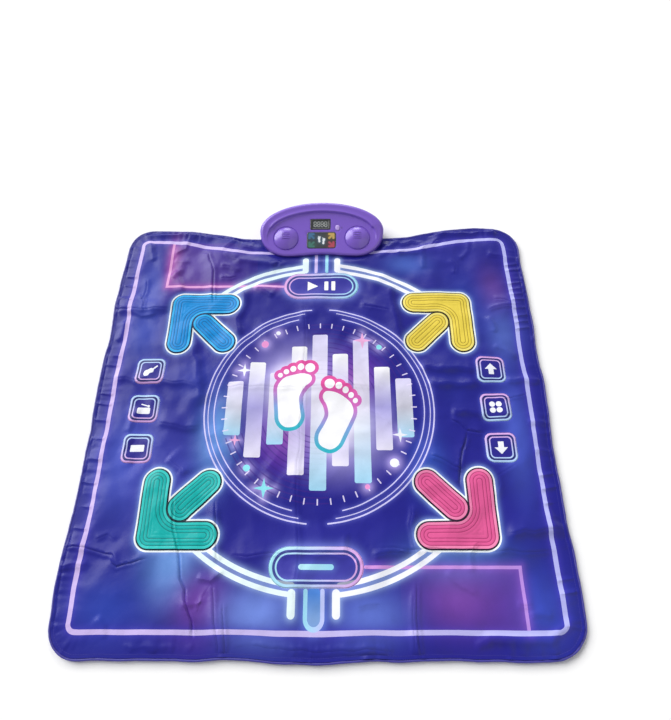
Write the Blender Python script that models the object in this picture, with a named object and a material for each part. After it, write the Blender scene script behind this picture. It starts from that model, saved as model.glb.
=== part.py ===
"""Electronic dance mat: a padded printed mat with twelve press pads and a control unit at its rear edge.

Frame: +X to the player's right, +Y to the rear, where the control unit stands, +Z up.
The origin is on the floor, under the middle of the mat. Lengths are in metres.
"""
import math

import bmesh
import bpy
from mathutils import Matrix, Vector

MM = 0.001

# Clearances
GAP = 0.3 * MM                  # between two pieces that touch on the real object
PAD_CLEARANCE = 0.5 * MM        # round a press pad, in every layer it passes
SCREW_CLEARANCE = 0.3 * MM      # round a screw's shank and head

# Mat outline
MAT_WIDTH = 930 * MM
MAT_DEPTH = 930 * MM
CORNER_RADIUS = 58 * MM
REAR_DRAW = 26 * MM             # how far the control unit draws the rear edge forward
DRAW_MARGIN = 6 * MM            # how far the drawn edge's straight middle reaches past the unit
CORNER_STEPS = 5
REAR_STEPS = 6
BINDING_WIDTH = 4 * MM
BINDING_ROUND = 1.4 * MM

# Mat layers, from the floor up
CLOTH_THICKNESS = 0.8 * MM
FILM_THICKNESS = 0.4 * MM
SPACER_THICKNESS = 2.2 * MM
PADDING_THICKNESS = 2.5 * MM
COVER_THICKNESS = 0.8 * MM

# Press pads
PAD_PROUD = 1.5 * MM            # pad top above the cover
PAD_EDGE = 1.0 * MM             # chamfer round a pad's top
PAD_FLANGE = 2.0 * MM           # lip of film that the padding holds down
PRINT_OFFSET = -6 * MM          # the pads' middle lies this far ahead of the mat's

ARROW_MARGIN = 129 * MM         # from the mat's side edge to the arrows' outer corner
ARROW_MARGIN_DEPTH = 184 * MM   # the same from the rear and front edges
ARROW_ARM = 152 * MM
ARROW_ARM_WIDTH = 51 * MM
ARROW_CORNER = 25 * MM
ARROW_STEM_RADIUS = 25 * MM
ARROW_STEM_END = 125 * MM       # from the corner, along both arms, to the middle of the stem's round end
ARROW_STEPS = 6

PILL_LENGTH = 170 * MM
PILL_WIDTH = 70 * MM
START_MARGIN = 161 * MM         # from the rear edge to the middle of the start pad
DASH_MARGIN = 154 * MM          # from the front edge to the middle of the dash pad
PILL_STEPS = 7

ICON_SIZE = 60 * MM
ICON_ROUND = 13 * MM
ICON_MARGIN = 103 * MM          # from the mat's side edge to the middle of an icon pad
ICON_PITCH = 86 * MM
ICON_STEPS = 3

# Control unit, seen from above
UNIT_WIDTH = 296 * MM
UNIT_OVERLAP = 56 * MM          # its front end lies this far over the mat
LOBE_SPACING = 164 * MM         # between the middles of the two front lobes
LOBE_DEPTH = 63.6 * MM          # from the widest line to the front of a lobe
BACK_DEPTH = 69.4 * MM          # from the widest line to the rear
FRONT_DENT = 5 * MM
LOBE_STEPS = 10
DENT_STEPS = 10
BACK_STEPS = 36

# Control unit, seen from the side
FACE_TILT = math.radians(15.5)
FACE_FRONT_HEIGHT = 15.9 * MM   # the sloping face's height over the floor at the front end
FLOOR_CLEARANCE = 1.5 * MM      # the base stands on its feet this far over the floor
PARTING_HEIGHT = 12 * MM        # where the two shells meet
WALL = 2.4 * MM
BASE_FLOOR = 2.0 * MM
SHADOW_LINE = 0.6 * MM          # the base is this much smaller all round

# Raised rim of the face
RIM_WIDTH_FRONT = 9 * MM
RIM_WIDTH_REAR = 30 * MM
RIM_HEIGHT = 6 * MM
RIM_STEP = 2.5 * MM             # run of the step from the rim down to the face
RIM_WIDENS = (10 * MM, 85 * MM)  # from the front end: where it starts and stops growing wider
RIM_RISES = (20 * MM, 85 * MM)  # the same for its height
RIM_SHOULDER = 0.35             # share of the rim's height that the outer edge reaches
RIM_CREST = 0.3                 # share of the way in from there at which the rim is highest
RIM_LIP = 0.85                  # share of the rim's height at the top of the step
EDGE_ROUND_FRONT = 3 * MM
EDGE_ROUND_REAR = 9 * MM
EDGE_BEVEL = 0.3                # share of the edge's radius that its lower bevel takes

# On the face: X from the middle, T up the slope from the front end
DISPLAY_T = 78.5 * MM
DISPLAY_X = -3 * MM
DISPLAY_SIZE = (48 * MM, 27 * MM)
DISPLAY_WINDOW = (39 * MM, 20 * MM)
DISPLAY_ROUND = 2 * MM
DISPLAY_STEPS = 2
DISPLAY_PROUD = 0.9 * MM
PANEL_T = 37.5 * MM
PANEL_X = -0.5 * MM
PANEL_SIZE = (69 * MM, 41 * MM)
PANEL_ROUND = 6 * MM
PANEL_STEPS = 3
PANEL_PROUD = 0.4 * MM
PANEL_THICKNESS = 2.0 * MM
PANEL_FILM_THICKNESS = 0.5 * MM
SWITCH_T = 69 * MM
SWITCH_X = 38 * MM
SWITCH_CAP = (10 * MM, 14 * MM)
SWITCH_PROUD = 1.6 * MM
SWITCH_TRAVEL = 1.0 * MM
SWITCH_FLANGE = 1.3 * MM
SWITCH_STEM_RADIUS = 2 * MM
SWITCH_SHOULDER = 0.45          # share of the cap's height at which it starts to round over
SWITCH_CROWN = 0.62             # size of the cap's flat top, as a share of its outline
SWITCH_STEPS = 6
TACT_SIZE = 6 * MM
TACT_HEIGHT = 2 * MM
SPEAKER_T = 43 * MM
SPEAKER_MARGIN = 63 * MM        # from the unit's widest side to the middle of a speaker
GRILLE_RADIUS = 28.5 * MM
GRILLE_HEIGHT = 9.5 * MM
GRILLE_WALL = 1.6 * MM
GRILLE_RING = 2 * MM            # width of the groove round a speaker cover
GRILLE_SINK = 1.2 * MM          # depth of that groove
GRILLE_SLOTS = 4
DOME_STEPS = 4
SLOT_PITCH = 5 * MM
SLOT_WIDTH = 1.0 * MM
SLOT_LENGTH = 18 * MM
SOUND_HOLE = 22 * MM
SPEAKER_RADIUS = 25 * MM
SPEAKER_RIM = 3 * MM
MAGNET_RADIUS = 12 * MM
MAGNET_DEPTH = 6.7 * MM

# Electronics under the face, hung from its posts
BOARD_DEPTH = 8.4 * MM          # from the face down to the board
BOARD_THICKNESS = 1.6 * MM
BOARD_HALF_WIDTH = 48 * MM
BOARD_T = (22 * MM, 96 * MM)
POST_INSET = 4 * MM             # from the board's edges to the middle of a post
POST_RADIUS = 3 * MM
BOARD_SCREW_RADIUS = 1.0 * MM
BOARD_SCREW_HEAD = 2.0 * MM
LED_RADIUS = 2.5 * MM
LED_SPREAD = (23 * MM, 11.5 * MM)

# Batteries under a door in the base
CELL_RADIUS = 7.25 * MM
CELL_LENGTH = 50.5 * MM
CELL_NUB = (2.7 * MM, 1.2 * MM)
CELL_SPACE = 0.4 * MM           # between two cells, and from a cell to the box
CELL_COUNT = 3
CONTACT_THICKNESS = 0.5 * MM
CONTACT_BUMP = 0.7 * MM
BOX_WALL = 1.5 * MM
DOOR_LIP = (4 * MM, 2 * MM)     # how far the door reaches past the battery box, across and back
DOOR_THICKNESS = 1.0 * MM
DOOR_INNER = 0.8 * MM
DOOR_TAB = 7 * MM               # extra length on the side with the door's screw
DOOR_WEB = 0.4 * MM             # what is left of the door over its screw's head

# Clamp that holds the mat's rear tab in the unit
TAB_HALF_WIDTH = 80 * MM
TAB_THICKNESS = 1.2 * MM
CLAMP_SETBACK = 6 * MM          # from the mat's edge to the clamp bar
CLAMP_DEPTH = 10 * MM
CLAMP_HEIGHT = 5 * MM
CLAMP_SCREW_X = 60 * MM
CLAMP_TO_BOX = 3.5 * MM         # from the clamp bar to the battery box
STEP_SPACE = 1 * MM             # from the mat's edge to the step in the base
TAIL_HALF_WIDTH = 20 * MM
TAIL_THICKNESS = 0.4 * MM
TAIL_BEND = 2.0 * MM

# Screws and feet
SCREW_RADIUS = 1.4 * MM
SCREW_HEAD_RADIUS = 2.8 * MM
SCREW_HEAD_HEIGHT = 1.1 * MM
SCREW_CHAMFER = 0.4 * MM
SCREW_LENGTH = 17 * MM
CLAMP_SCREW_LENGTH = 6.6 * MM
DOOR_SCREW_LENGTH = 8 * MM
DOOR_SCREW_HEAD = 0.8 * MM
BOSS_RADIUS = 3.8 * MM
SIDE_BOSS = (20 * MM, 8 * MM)   # from the unit's widest side inwards, and from its widest line back
REAR_BOSS = (62 * MM, 16 * MM)  # from the middle, and from the rear end forwards
FOOT_RADIUS = 7 * MM
FOOT_MARGIN = 53 * MM           # from the unit's widest side inwards
FOOT_SETBACK = 36 * MM          # from the rear end forwards
FOOT_SINK = 0.9 * MM
ROUND_STEPS = 12
SCREW_STEPS = 8
GRILLE_STEPS = 24

# Heights and places worked out from the sizes above
FILM_LOW = CLOTH_THICKNESS + GAP
SPACER_LOW = FILM_LOW + FILM_THICKNESS + GAP
FILM_HIGH = SPACER_LOW + SPACER_THICKNESS + GAP
PADDING_LOW = FILM_HIGH + FILM_THICKNESS + GAP
COVER_LOW = PADDING_LOW + PADDING_THICKNESS + GAP
MAT_TOP = COVER_LOW + COVER_THICKNESS
PAD_TOP = MAT_TOP + PAD_PROUD
MAT_REAR = MAT_DEPTH / 2 - REAR_DRAW
DRAW_FLAT = UNIT_WIDTH / 2 + DRAW_MARGIN

UNIT_FRONT = MAT_REAR - UNIT_OVERLAP
UNIT_MIDDLE = UNIT_FRONT + LOBE_DEPTH
UNIT_REAR = UNIT_MIDDLE + BACK_DEPTH
LOBE_RADIUS = (UNIT_WIDTH - LOBE_SPACING) / 2
BASE_BOTTOM = FLOOR_CLEARANCE
BASE_TOP = PARTING_HEIGHT - GAP
FLOOR_TOP = BASE_BOTTOM + BASE_FLOOR
TRAY_BOTTOM = MAT_TOP + GAP
TRAY_TOP = TRAY_BOTTOM + BASE_FLOOR
STEP_FRONT = MAT_REAR + STEP_SPACE
STEP_REAR = STEP_FRONT + BASE_FLOOR
BOARD_TOP = -BOARD_DEPTH
BOARD_LOW = BOARD_TOP - BOARD_THICKNESS
TAB_LOW = FLOOR_TOP + GAP
CLAMP_LOW = TAB_LOW + TAB_THICKNESS + GAP
CLAMP_Y = MAT_REAR + CLAMP_SETBACK + CLAMP_DEPTH / 2
CELL_PITCH = 2 * CELL_RADIUS + CELL_SPACE
DOOR_TOP = BASE_BOTTOM + DOOR_THICKNESS + DOOR_INNER
CELL_Z = DOOR_TOP + GAP + CELL_RADIUS
BOX_HALF_X = CELL_LENGTH / 2 + CONTACT_BUMP + CONTACT_THICKNESS + 2 * GAP
BOX_HALF_Y = (CELL_COUNT - 1) / 2 * CELL_PITCH + CELL_RADIUS + CELL_SPACE
BOX_ROOF = CELL_Z + CELL_RADIUS + CELL_SPACE
BOX_Y = CLAMP_Y + CLAMP_DEPTH / 2 + CLAMP_TO_BOX + BOX_WALL + BOX_HALF_Y
DOOR_SCREW_X = BOX_HALF_X + BOX_WALL / 2 + BOSS_RADIUS


def clear_scene():
    """Start from an empty scene."""
    for thing in list(bpy.data.objects):
        bpy.data.objects.remove(thing)


def finish(name, colour, roughness, metallic=0.0):
    """A plain surface: its sRGB colour as three numbers from 0 to 1."""
    made = bpy.data.materials.new(name)
    made.use_nodes = True
    shader = made.node_tree.nodes["Principled BSDF"]
    linear = [c / 12.92 if c <= 0.04045 else ((c + 0.055) / 1.055) ** 2.4 for c in colour]
    shader.inputs["Base Color"].default_value = (*linear, 1.0)
    shader.inputs["Roughness"].default_value = roughness
    shader.inputs["Metallic"].default_value = metallic
    return made


def as_object(name, bm, surface, parent=None):
    """Turn a bmesh into a named object with its faces pointing out."""
    bmesh.ops.recalc_face_normals(bm, faces=bm.faces[:])
    mesh = bpy.data.meshes.new(name)
    bm.to_mesh(mesh)
    bm.free()
    thing = bpy.data.objects.new(name, mesh)
    bpy.context.scene.collection.objects.link(thing)
    if surface is not None:
        mesh.materials.append(surface)
    thing.parent = parent
    return thing


def arc(centre, radii, start, stop, steps):
    """Points on part of an ellipse, angles in degrees, both ends included."""
    angles = [math.radians(start + (stop - start) * k / steps) for k in range(steps + 1)]
    return [(centre[0] + radii[0] * math.cos(a), centre[1] + radii[1] * math.sin(a)) for a in angles]


def rounded_rect(size, radius, steps):
    """A rectangle with round corners about the origin, counter-clockwise."""
    x, y = size[0] / 2 - radius, size[1] / 2 - radius
    points = []
    for corner, start in (((x, y), 0), ((-x, y), 90), ((-x, -y), 180), ((x, -y), 270)):
        points += arc(corner, (radius, radius), start, start + 90, steps)
    return points


def pill(size, steps):
    """A strip with round ends about the origin, lying along X."""
    radii, reach = (size[1] / 2,) * 2, (size[0] - size[1]) / 2
    return arc((reach, 0), radii, -90, 90, steps) + arc((-reach, 0), radii, 90, 270, steps)


def upright_pill(size):
    """The power button's outline: a strip with round ends, lying along Y."""
    radii, reach = (size[0] / 2,) * 2, (size[1] - size[0]) / 2
    return arc((0, reach), radii, 0, 180, SWITCH_STEPS) + arc((0, -reach), radii, 180, 360, SWITCH_STEPS)


def rear_draw(x):
    """How far the rear edge is drawn forward at x."""
    end = MAT_WIDTH / 2 - CORNER_RADIUS
    along = (min(max(abs(x), DRAW_FLAT), end) - DRAW_FLAT) / (end - DRAW_FLAT)
    return REAR_DRAW * (1 + math.cos(math.pi * along)) / 2


def mat_outline(inset=0.0):
    """The mat's outline, counter-clockwise from its front left corner."""
    x, y = MAT_WIDTH / 2 - CORNER_RADIUS, MAT_DEPTH / 2 - CORNER_RADIUS
    radii = (CORNER_RADIUS - inset, CORNER_RADIUS - inset)
    points = arc((-x, -y), radii, 180, 270, CORNER_STEPS) + arc((x, -y), radii, 270, 360, CORNER_STEPS)
    points += arc((x, y), radii, 0, 90, CORNER_STEPS)
    falls = [x + (DRAW_FLAT - x) * k / REAR_STEPS for k in range(1, REAR_STEPS + 1)]
    for along in falls + [-fall for fall in reversed(falls)]:
        points.append((along, MAT_DEPTH / 2 - inset - rear_draw(along)))
    return points + arc((-x, y), radii, 90, 180, CORNER_STEPS)


def arrow_outline(grow=0.0):
    """An arrow with its outer corner at the origin and its two arms along +X and +Y, grown all round."""
    end, half, stem = ARROW_ARM - ARROW_ARM_WIDTH / 2, ARROW_ARM_WIDTH / 2, ARROW_STEM_RADIUS + grow
    tip = (half + grow, half + grow)
    points = arc((ARROW_CORNER,) * 2, (ARROW_CORNER + grow,) * 2, 180, 270, ARROW_STEPS // 2)
    points += arc((end, half), tip, -90, 90, ARROW_STEPS)
    inner = ARROW_ARM_WIDTH + grow
    notch = inner + stem * math.sqrt(2)
    points.append((notch, inner))
    points += arc((ARROW_STEM_END,) * 2, (stem, stem), -45, 135, ARROW_STEPS)
    points.append((inner, notch))
    return points + arc((half, end), tip, 0, 180, ARROW_STEPS)


def pad_list():
    """Every press pad: its name, the place of its middle, and its outline as a function of the growth."""
    pads = []
    middle = ARROW_ARM / 2
    arrow_x, arrow_y = MAT_WIDTH / 2 - ARROW_MARGIN - middle, MAT_DEPTH / 2 - ARROW_MARGIN_DEPTH - middle
    for end, side_y in (("rear", 1), ("front", -1)):
        for side, side_x in (("left", -1), ("right", 1)):
            def turned_arrow(grow=0.0, side_x=side_x, side_y=side_y):
                """The arrow about its middle, turned so that its corner points out of the mat."""
                points = [(side_x * (middle - x), side_y * (middle - y)) for x, y in arrow_outline(grow)]
                return points if side_x == side_y else points[::-1]
            place = (side_x * arrow_x, PRINT_OFFSET + side_y * arrow_y)
            pads.append((f"arrow_pad_{end}_{side}", place, turned_arrow))

    def pill_outline(grow=0.0):
        """The pill grown all round."""
        return pill((PILL_LENGTH + 2 * grow, PILL_WIDTH + 2 * grow), PILL_STEPS)

    pads.append(("start_pad", (0.0, PRINT_OFFSET + MAT_DEPTH / 2 - START_MARGIN), pill_outline))
    pads.append(("dash_pad", (0.0, PRINT_OFFSET - MAT_DEPTH / 2 + DASH_MARGIN), pill_outline))

    def icon_outline(grow=0.0):
        """The icon's rounded square grown all round."""
        return rounded_rect((ICON_SIZE + 2 * grow,) * 2, ICON_ROUND + grow, ICON_STEPS)

    icon_x = MAT_WIDTH / 2 - ICON_MARGIN
    for side, side_x in (("left", -1), ("right", 1)):
        for row, step in (("rear", 1), ("middle", 0), ("front", -1)):
            place = (side_x * icon_x, PRINT_OFFSET + step * ICON_PITCH)
            pads.append((f"icon_pad_{side}_{row}", place, icon_outline))
    return pads


def slab(name, outline, low, high, surface=None, holes=(), parent=None):
    """A flat sheet between two heights, with through holes."""
    bm = bmesh.new()
    for loop in (outline, *holes):
        verts = [bm.verts.new((x, y, low)) for x, y in loop]
        for first, second in zip(verts, verts[1:] + verts[:1]):
            bm.edges.new((first, second))
    bmesh.ops.triangle_fill(bm, use_beauty=True, edges=bm.edges[:])
    grown = bmesh.ops.extrude_face_region(bm, geom=bm.faces[:], use_keep_orig=True)
    moved = [part for part in grown["geom"] if isinstance(part, bmesh.types.BMVert)]
    bmesh.ops.translate(bm, verts=moved, vec=(0, 0, high - low))
    return as_object(name, bm, surface, parent)


def loft(name, rings, surface=None, parent=None):
    """A solid through rings of as many points each, closed by a flat face at both ends."""
    bm = bmesh.new()
    loops = [[bm.verts.new(point) for point in ring] for ring in rings]
    for low, high in zip(loops, loops[1:]):
        for k in range(len(low)):
            j = (k + 1) % len(low)
            bm.faces.new((low[k], low[j], high[j], high[k]))
    bm.faces.new(loops[0][::-1])
    bm.faces.new(loops[-1])
    return as_object(name, bm, surface, parent)


def turned(name, profile, surface=None, parent=None, steps=ROUND_STEPS, axis="Z"):
    """A turned solid: profile points are (radius, height), and the first and last lie on the axis."""
    bm = bmesh.new()
    first, last = bm.verts.new((0, 0, profile[0][1])), bm.verts.new((0, 0, profile[-1][1]))
    rings = []
    for radius, height in profile[1:-1]:
        ring = arc((0, 0), (radius, radius), 0, 360 - 360 / steps, steps - 1)
        rings.append([bm.verts.new((x, y, height)) for x, y in ring])
    for k in range(steps):
        j = (k + 1) % steps
        bm.faces.new((first, rings[0][j], rings[0][k]))
        bm.faces.new((last, rings[-1][k], rings[-1][j]))
        for low, high in zip(rings, rings[1:]):
            bm.faces.new((low[k], low[j], high[j], high[k]))
    if axis == "X":
        bmesh.ops.rotate(bm, verts=bm.verts[:], cent=(0, 0, 0), matrix=Matrix.Rotation(math.pi / 2, 3, "Y"))
    made = as_object(name, bm, surface, parent)
    made.data.shade_smooth()
    made.data.set_sharp_from_angle(angle=math.radians(40))
    return made


def box(name, low, high, surface=None, parent=None):
    """A block between two corners."""
    ring = [(low[0], low[1]), (high[0], low[1]), (high[0], high[1]), (low[0], high[1])]
    return loft(name, [[(x, y, z) for x, y in ring] for z in (low[2], high[2])], surface, parent)


def peg(place, radius, low, high, parent=None):
    """A round bar used to shape another piece."""
    bar = turned("peg", [(0, low), (radius, low), (radius, high), (0, high)], parent=parent)
    bar.location = (place[0], place[1], 0)
    return bar


def combine(target, tools, operation="DIFFERENCE"):
    """Cut away, join or intersect a solid with one or more tools at once, and remove the tools."""
    tools = tools if isinstance(tools, list) else [tools]
    group = bpy.data.collections.new("tools")
    for tool in tools:
        group.objects.link(tool)
    bpy.context.view_layer.update()
    step = target.modifiers.new("shape", "BOOLEAN")
    step.operation = operation
    step.solver = "EXACT"
    step.operand_type = "COLLECTION"
    step.collection = group
    depsgraph = bpy.context.evaluated_depsgraph_get()
    shaped = bpy.data.meshes.new_from_object(target.evaluated_get(depsgraph))
    target.modifiers.clear()
    target.data = shaped
    for tool in tools:
        bpy.data.objects.remove(tool)
    bpy.data.collections.remove(group)
    return target


def smoothstep(low, high, value):
    """0 below low, 1 above high, and a smooth rise between."""
    share = min(max((value - low) / (high - low), 0.0), 1.0)
    return share * share * (3 - 2 * share)


def unit_outline(inset=0.0):
    """The control unit from above: an ellipse at the rear and two round lobes with a dent at the front."""
    half, lobe = UNIT_WIDTH / 2, LOBE_SPACING / 2
    front = (LOBE_RADIUS, LOBE_DEPTH)
    points = arc((0, UNIT_MIDDLE), (half, BACK_DEPTH), 0, 180, BACK_STEPS)
    points += arc((-lobe, UNIT_MIDDLE), front, 180, 270, LOBE_STEPS)[1:]
    for k in range(1, DENT_STEPS):
        share = k / DENT_STEPS
        dent = FRONT_DENT * math.sin(math.pi * share) ** 2
        points.append((-lobe + LOBE_SPACING * share, UNIT_FRONT + dent))
    points += arc((lobe, UNIT_MIDDLE), front, 270, 360, LOBE_STEPS)[:-1]
    return shrink(points, [inset] * len(points))


def shrink(points, insets):
    """Move each point of a counter-clockwise outline inwards by its own distance."""
    moved = []
    for k, (x, y) in enumerate(points):
        before, after = points[k - 1], points[(k + 1) % len(points)]
        along = Vector((after[0] - before[0], after[1] - before[1])).normalized()
        moved.append((x - along.y * insets[k], y + along.x * insets[k]))
    return moved


def face_height(y):
    """Height of the sloping face's plane at y."""
    return FACE_FRONT_HEIGHT + (y - UNIT_FRONT) * math.tan(FACE_TILT)


def face_frame():
    """An empty at the face's front end, X across, Y up the slope, Z out of the face."""
    frame = bpy.data.objects.new("face_frame", None)
    frame.location = (0, UNIT_FRONT, FACE_FRONT_HEIGHT)
    frame.rotation_euler = (FACE_TILT, 0, 0)
    bpy.context.scene.collection.objects.link(frame)
    return frame


def mat_layers():
    """The mat's flat layers, with a hole at every press pad that passes them."""
    pads = pad_list()

    def holes(grow):
        """The pads' outlines, grown, in the mat's frame."""
        return [[(x + px, y + py) for x, y in outline(grow)] for _, (px, py), outline in pads]

    outline = mat_outline(BINDING_WIDTH + GAP)
    narrow, wide = holes(PAD_CLEARANCE), holes(PAD_FLANGE + PAD_CLEARANCE)
    film = finish("circuit_film", (0.80, 0.82, 0.84), 0.35)
    foam = finish("foam", (0.86, 0.86, 0.88), 0.95)
    slab("base_cloth", outline, 0, CLOTH_THICKNESS, finish("dotted_cloth", (0.13, 0.13, 0.16), 0.9))
    slab("lower_circuit_film", outline, FILM_LOW, FILM_LOW + FILM_THICKNESS, film)
    slab("spacer_foam", outline, SPACER_LOW, SPACER_LOW + SPACER_THICKNESS, foam, wide)
    slab("upper_circuit_film", outline, FILM_HIGH, FILM_HIGH + FILM_THICKNESS, film, wide)
    slab("padding_foam", outline, PADDING_LOW, PADDING_LOW + PADDING_THICKNESS, foam, narrow)
    cover = finish("printed_cover", (0.24, 0.22, 0.62), 0.4)
    slab("top_cover", outline, COVER_LOW, MAT_TOP, cover, narrow)


def edge_binding():
    """The rounded strip that closes the layers all round."""
    section = ((BINDING_WIDTH, 0), (BINDING_ROUND, 0), (0, BINDING_ROUND),
               (0, MAT_TOP - BINDING_ROUND), (BINDING_ROUND, MAT_TOP), (BINDING_WIDTH, MAT_TOP))
    bm = bmesh.new()
    loops = [[bm.verts.new((x, y, z)) for x, y in mat_outline(inset)] for inset, z in section]
    for low, high in zip(loops, loops[1:] + loops[:1]):
        for k in range(len(low)):
            j = (k + 1) % len(low)
            bm.faces.new((low[k], low[j], high[j], high[k]))
    as_object("edge_binding", bm, finish("binding", (0.17, 0.15, 0.45), 0.5))


def press_pads():
    """The pads: each a raised island with a lip of film below the padding."""
    colours = {"arrow_pad_rear_left": (0.10, 0.62, 0.86), "arrow_pad_rear_right": (0.91, 0.81, 0.31),
               "arrow_pad_front_left": (0.12, 0.66, 0.60), "arrow_pad_front_right": (0.85, 0.29, 0.56)}
    plain = (0.28, 0.28, 0.66)
    lip_top = FILM_HIGH + FILM_THICKNESS
    section = ((PAD_FLANGE, FILM_HIGH), (PAD_FLANGE, lip_top), (0, lip_top), (0, PAD_TOP - PAD_EDGE),
               (-PAD_EDGE, PAD_TOP))
    for name, place, outline in pad_list():
        rings = [[(x, y, z) for x, y in outline(grow)] for grow, z in section]
        pad = loft(name, rings, finish(name, colours.get(name, plain), 0.4))
        pad.location = (*place, 0)


def mat_tab_and_tail():
    """The tab that the clamp holds, and the flat film cable that runs up to the board."""
    start = MAT_REAR + GAP
    end = CLAMP_Y + CLAMP_DEPTH / 2
    box("mat_tab", (-TAB_HALF_WIDTH, start, TAB_LOW), (TAB_HALF_WIDTH, end, TAB_LOW + TAB_THICKNESS),
        finish("webbing", (0.10, 0.10, 0.14), 0.85))
    low, bend = CLAMP_LOW, TAIL_BEND
    rise_y = end + bend
    board_low = face_height(rise_y) + BOARD_LOW / math.cos(FACE_TILT) - GAP
    inner = [(start, low + TAIL_THICKNESS)]
    inner += arc((rise_y - bend, low + bend), (bend - TAIL_THICKNESS,) * 2, -90, 0, 4)
    outer = [(start, low)] + arc((rise_y - bend, low + bend), (bend, bend), -90, 0, 4)
    slope = TAIL_THICKNESS * math.tan(FACE_TILT)
    side = outer + [(rise_y, board_low), (rise_y - TAIL_THICKNESS, board_low - slope)] + inner[::-1]
    rings = [[(x, y, z) for y, z in side] for x in (-TAIL_HALF_WIDTH, TAIL_HALF_WIDTH)]
    loft("membrane_tail", rings, finish("tail_film", (0.78, 0.80, 0.82), 0.35))


def rim_section(along):
    """Width and height of the rim, and radius of the outer edge, at a distance from the unit's front."""
    width = RIM_WIDTH_FRONT + (RIM_WIDTH_REAR - RIM_WIDTH_FRONT) * smoothstep(*RIM_WIDENS, along)
    height = RIM_HEIGHT * smoothstep(*RIM_RISES, along)
    backness = smoothstep(0, UNIT_REAR - UNIT_FRONT, along)
    edge = EDGE_ROUND_FRONT + (EDGE_ROUND_REAR - EDGE_ROUND_FRONT) * backness
    return width, height, edge


def skin_section(width, height, edge):
    """The outside of the face shell at one point of the outline: (inset, lift over the face's plane)."""
    return ((0, -edge), (EDGE_BEVEL * edge, -EDGE_BEVEL * edge), (edge, RIM_SHOULDER * height),
            (edge + RIM_CREST * (width - edge), height), (width - RIM_STEP, RIM_LIP * height), (width, 0))


def hollow_section(width, height, edge):
    """The inside of the face shell at one point of the outline, a wall's thickness from the outside."""
    drop = WALL / math.cos(FACE_TILT)
    start, end = edge + WALL / 2, width - WALL / 2
    crest, lip = start + RIM_CREST * (end - start), start + (1 - RIM_CREST) * (end - start)
    return ((WALL, -edge), (start, RIM_SHOULDER * height - drop), (crest, height - drop),
            (lip, RIM_LIP * height - drop), (end, -drop))


def rim_rings(section, inset, low):
    """Rings of the face shell from a flat lower end up to the edge of the sloping face."""
    outline = unit_outline()
    sections = [section(*rim_section(y - UNIT_FRONT)) for _, y in outline]
    rings = [[(x, y, low) for x, y in unit_outline(inset)]]
    for k in range(len(sections[0])):
        moved = shrink(outline, [points[k][0] for points in sections])
        rings.append([(x, y, face_height(y) + points[k][1]) for (x, y), points in zip(moved, sections)])
    return rings


def boss_places():
    """Where the four shell screws stand."""
    side_x, rear_y = UNIT_WIDTH / 2 - SIDE_BOSS[0], UNIT_REAR - REAR_BOSS[1]
    side_y = UNIT_MIDDLE + SIDE_BOSS[1]
    return {"left": (-side_x, side_y), "right": (side_x, side_y),
            "rear_left": (-REAR_BOSS[0], rear_y), "rear_right": (REAR_BOSS[0], rear_y)}


def post_places():
    """Where the board's four posts stand, in the face's frame."""
    x = BOARD_HALF_WIDTH - POST_INSET
    return [(side * x, t) for t in (BOARD_T[0] + POST_INSET, BOARD_T[1] - POST_INSET) for side in (-1, 1)]


def grille_places():
    """Where the two speakers sit, in the face's frame."""
    x = UNIT_WIDTH / 2 - SPEAKER_MARGIN
    return {"left": (-x, SPEAKER_T), "right": (x, SPEAKER_T)}


def placed(outline, place):
    """An outline moved to a place."""
    return [(x + place[0], y + place[1]) for x, y in outline]


def face_shell(frame, plastic):
    """The upper shell: a hollow wedge with a raised rim, its openings, four bosses and four board posts."""
    shell = loft("face_shell", rim_rings(skin_section, 0, PARTING_HEIGHT), plastic)
    hollow = loft("hollow", rim_rings(hollow_section, WALL, PARTING_HEIGHT - WALL))
    through = RIM_HEIGHT + WALL
    top = face_height(UNIT_REAR)
    solid = [peg(place, BOSS_RADIUS, 0, top) for place in boss_places().values()]
    solid += [peg(place, POST_RADIUS, BOARD_TOP + GAP, 0, frame) for place in post_places()]
    combine(shell, combine(hollow, solid))
    display = rounded_rect([s + 2 * GAP for s in DISPLAY_SIZE], DISPLAY_ROUND + GAP, DISPLAY_STEPS)
    panel = rounded_rect([s + 2 * GAP for s in PANEL_SIZE], PANEL_ROUND + GAP, PANEL_STEPS)
    cap = upright_pill([s + 2 * GAP for s in SWITCH_CAP])
    windows = [placed(display, (DISPLAY_X, DISPLAY_T)), placed(panel, (PANEL_X, PANEL_T)),
               placed(cap, (SWITCH_X, SWITCH_T))]
    openings = [slab("opening", window, -2 * WALL, through, parent=frame) for window in windows]
    ring = GRILLE_RADIUS + GRILLE_RING
    for place in grille_places().values():
        profile = [(0, -2 * WALL), (SOUND_HOLE, -2 * WALL), (SOUND_HOLE, -GRILLE_SINK), (ring, -GRILLE_SINK),
                   (ring, through), (0, through)]
        seat = turned("seat", profile, parent=frame, steps=GRILLE_STEPS)
        seat.location = (*place, 0)
        openings.append(seat)
    bore_top = screw_seat() + SCREW_LENGTH + GAP
    openings += [peg(place, SCREW_RADIUS + SCREW_CLEARANCE, 0, bore_top) for place in boss_places().values()]
    bore = BOARD_SCREW_RADIUS + GAP
    openings += [peg(place, bore, 2 * BOARD_LOW, -WALL - GAP, frame) for place in post_places()[2:]]
    combine(shell, openings)
    return shell


def screw_seat():
    """Height of the shoulder that the shell screws' heads pull on."""
    return FLOOR_TOP + GAP


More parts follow.
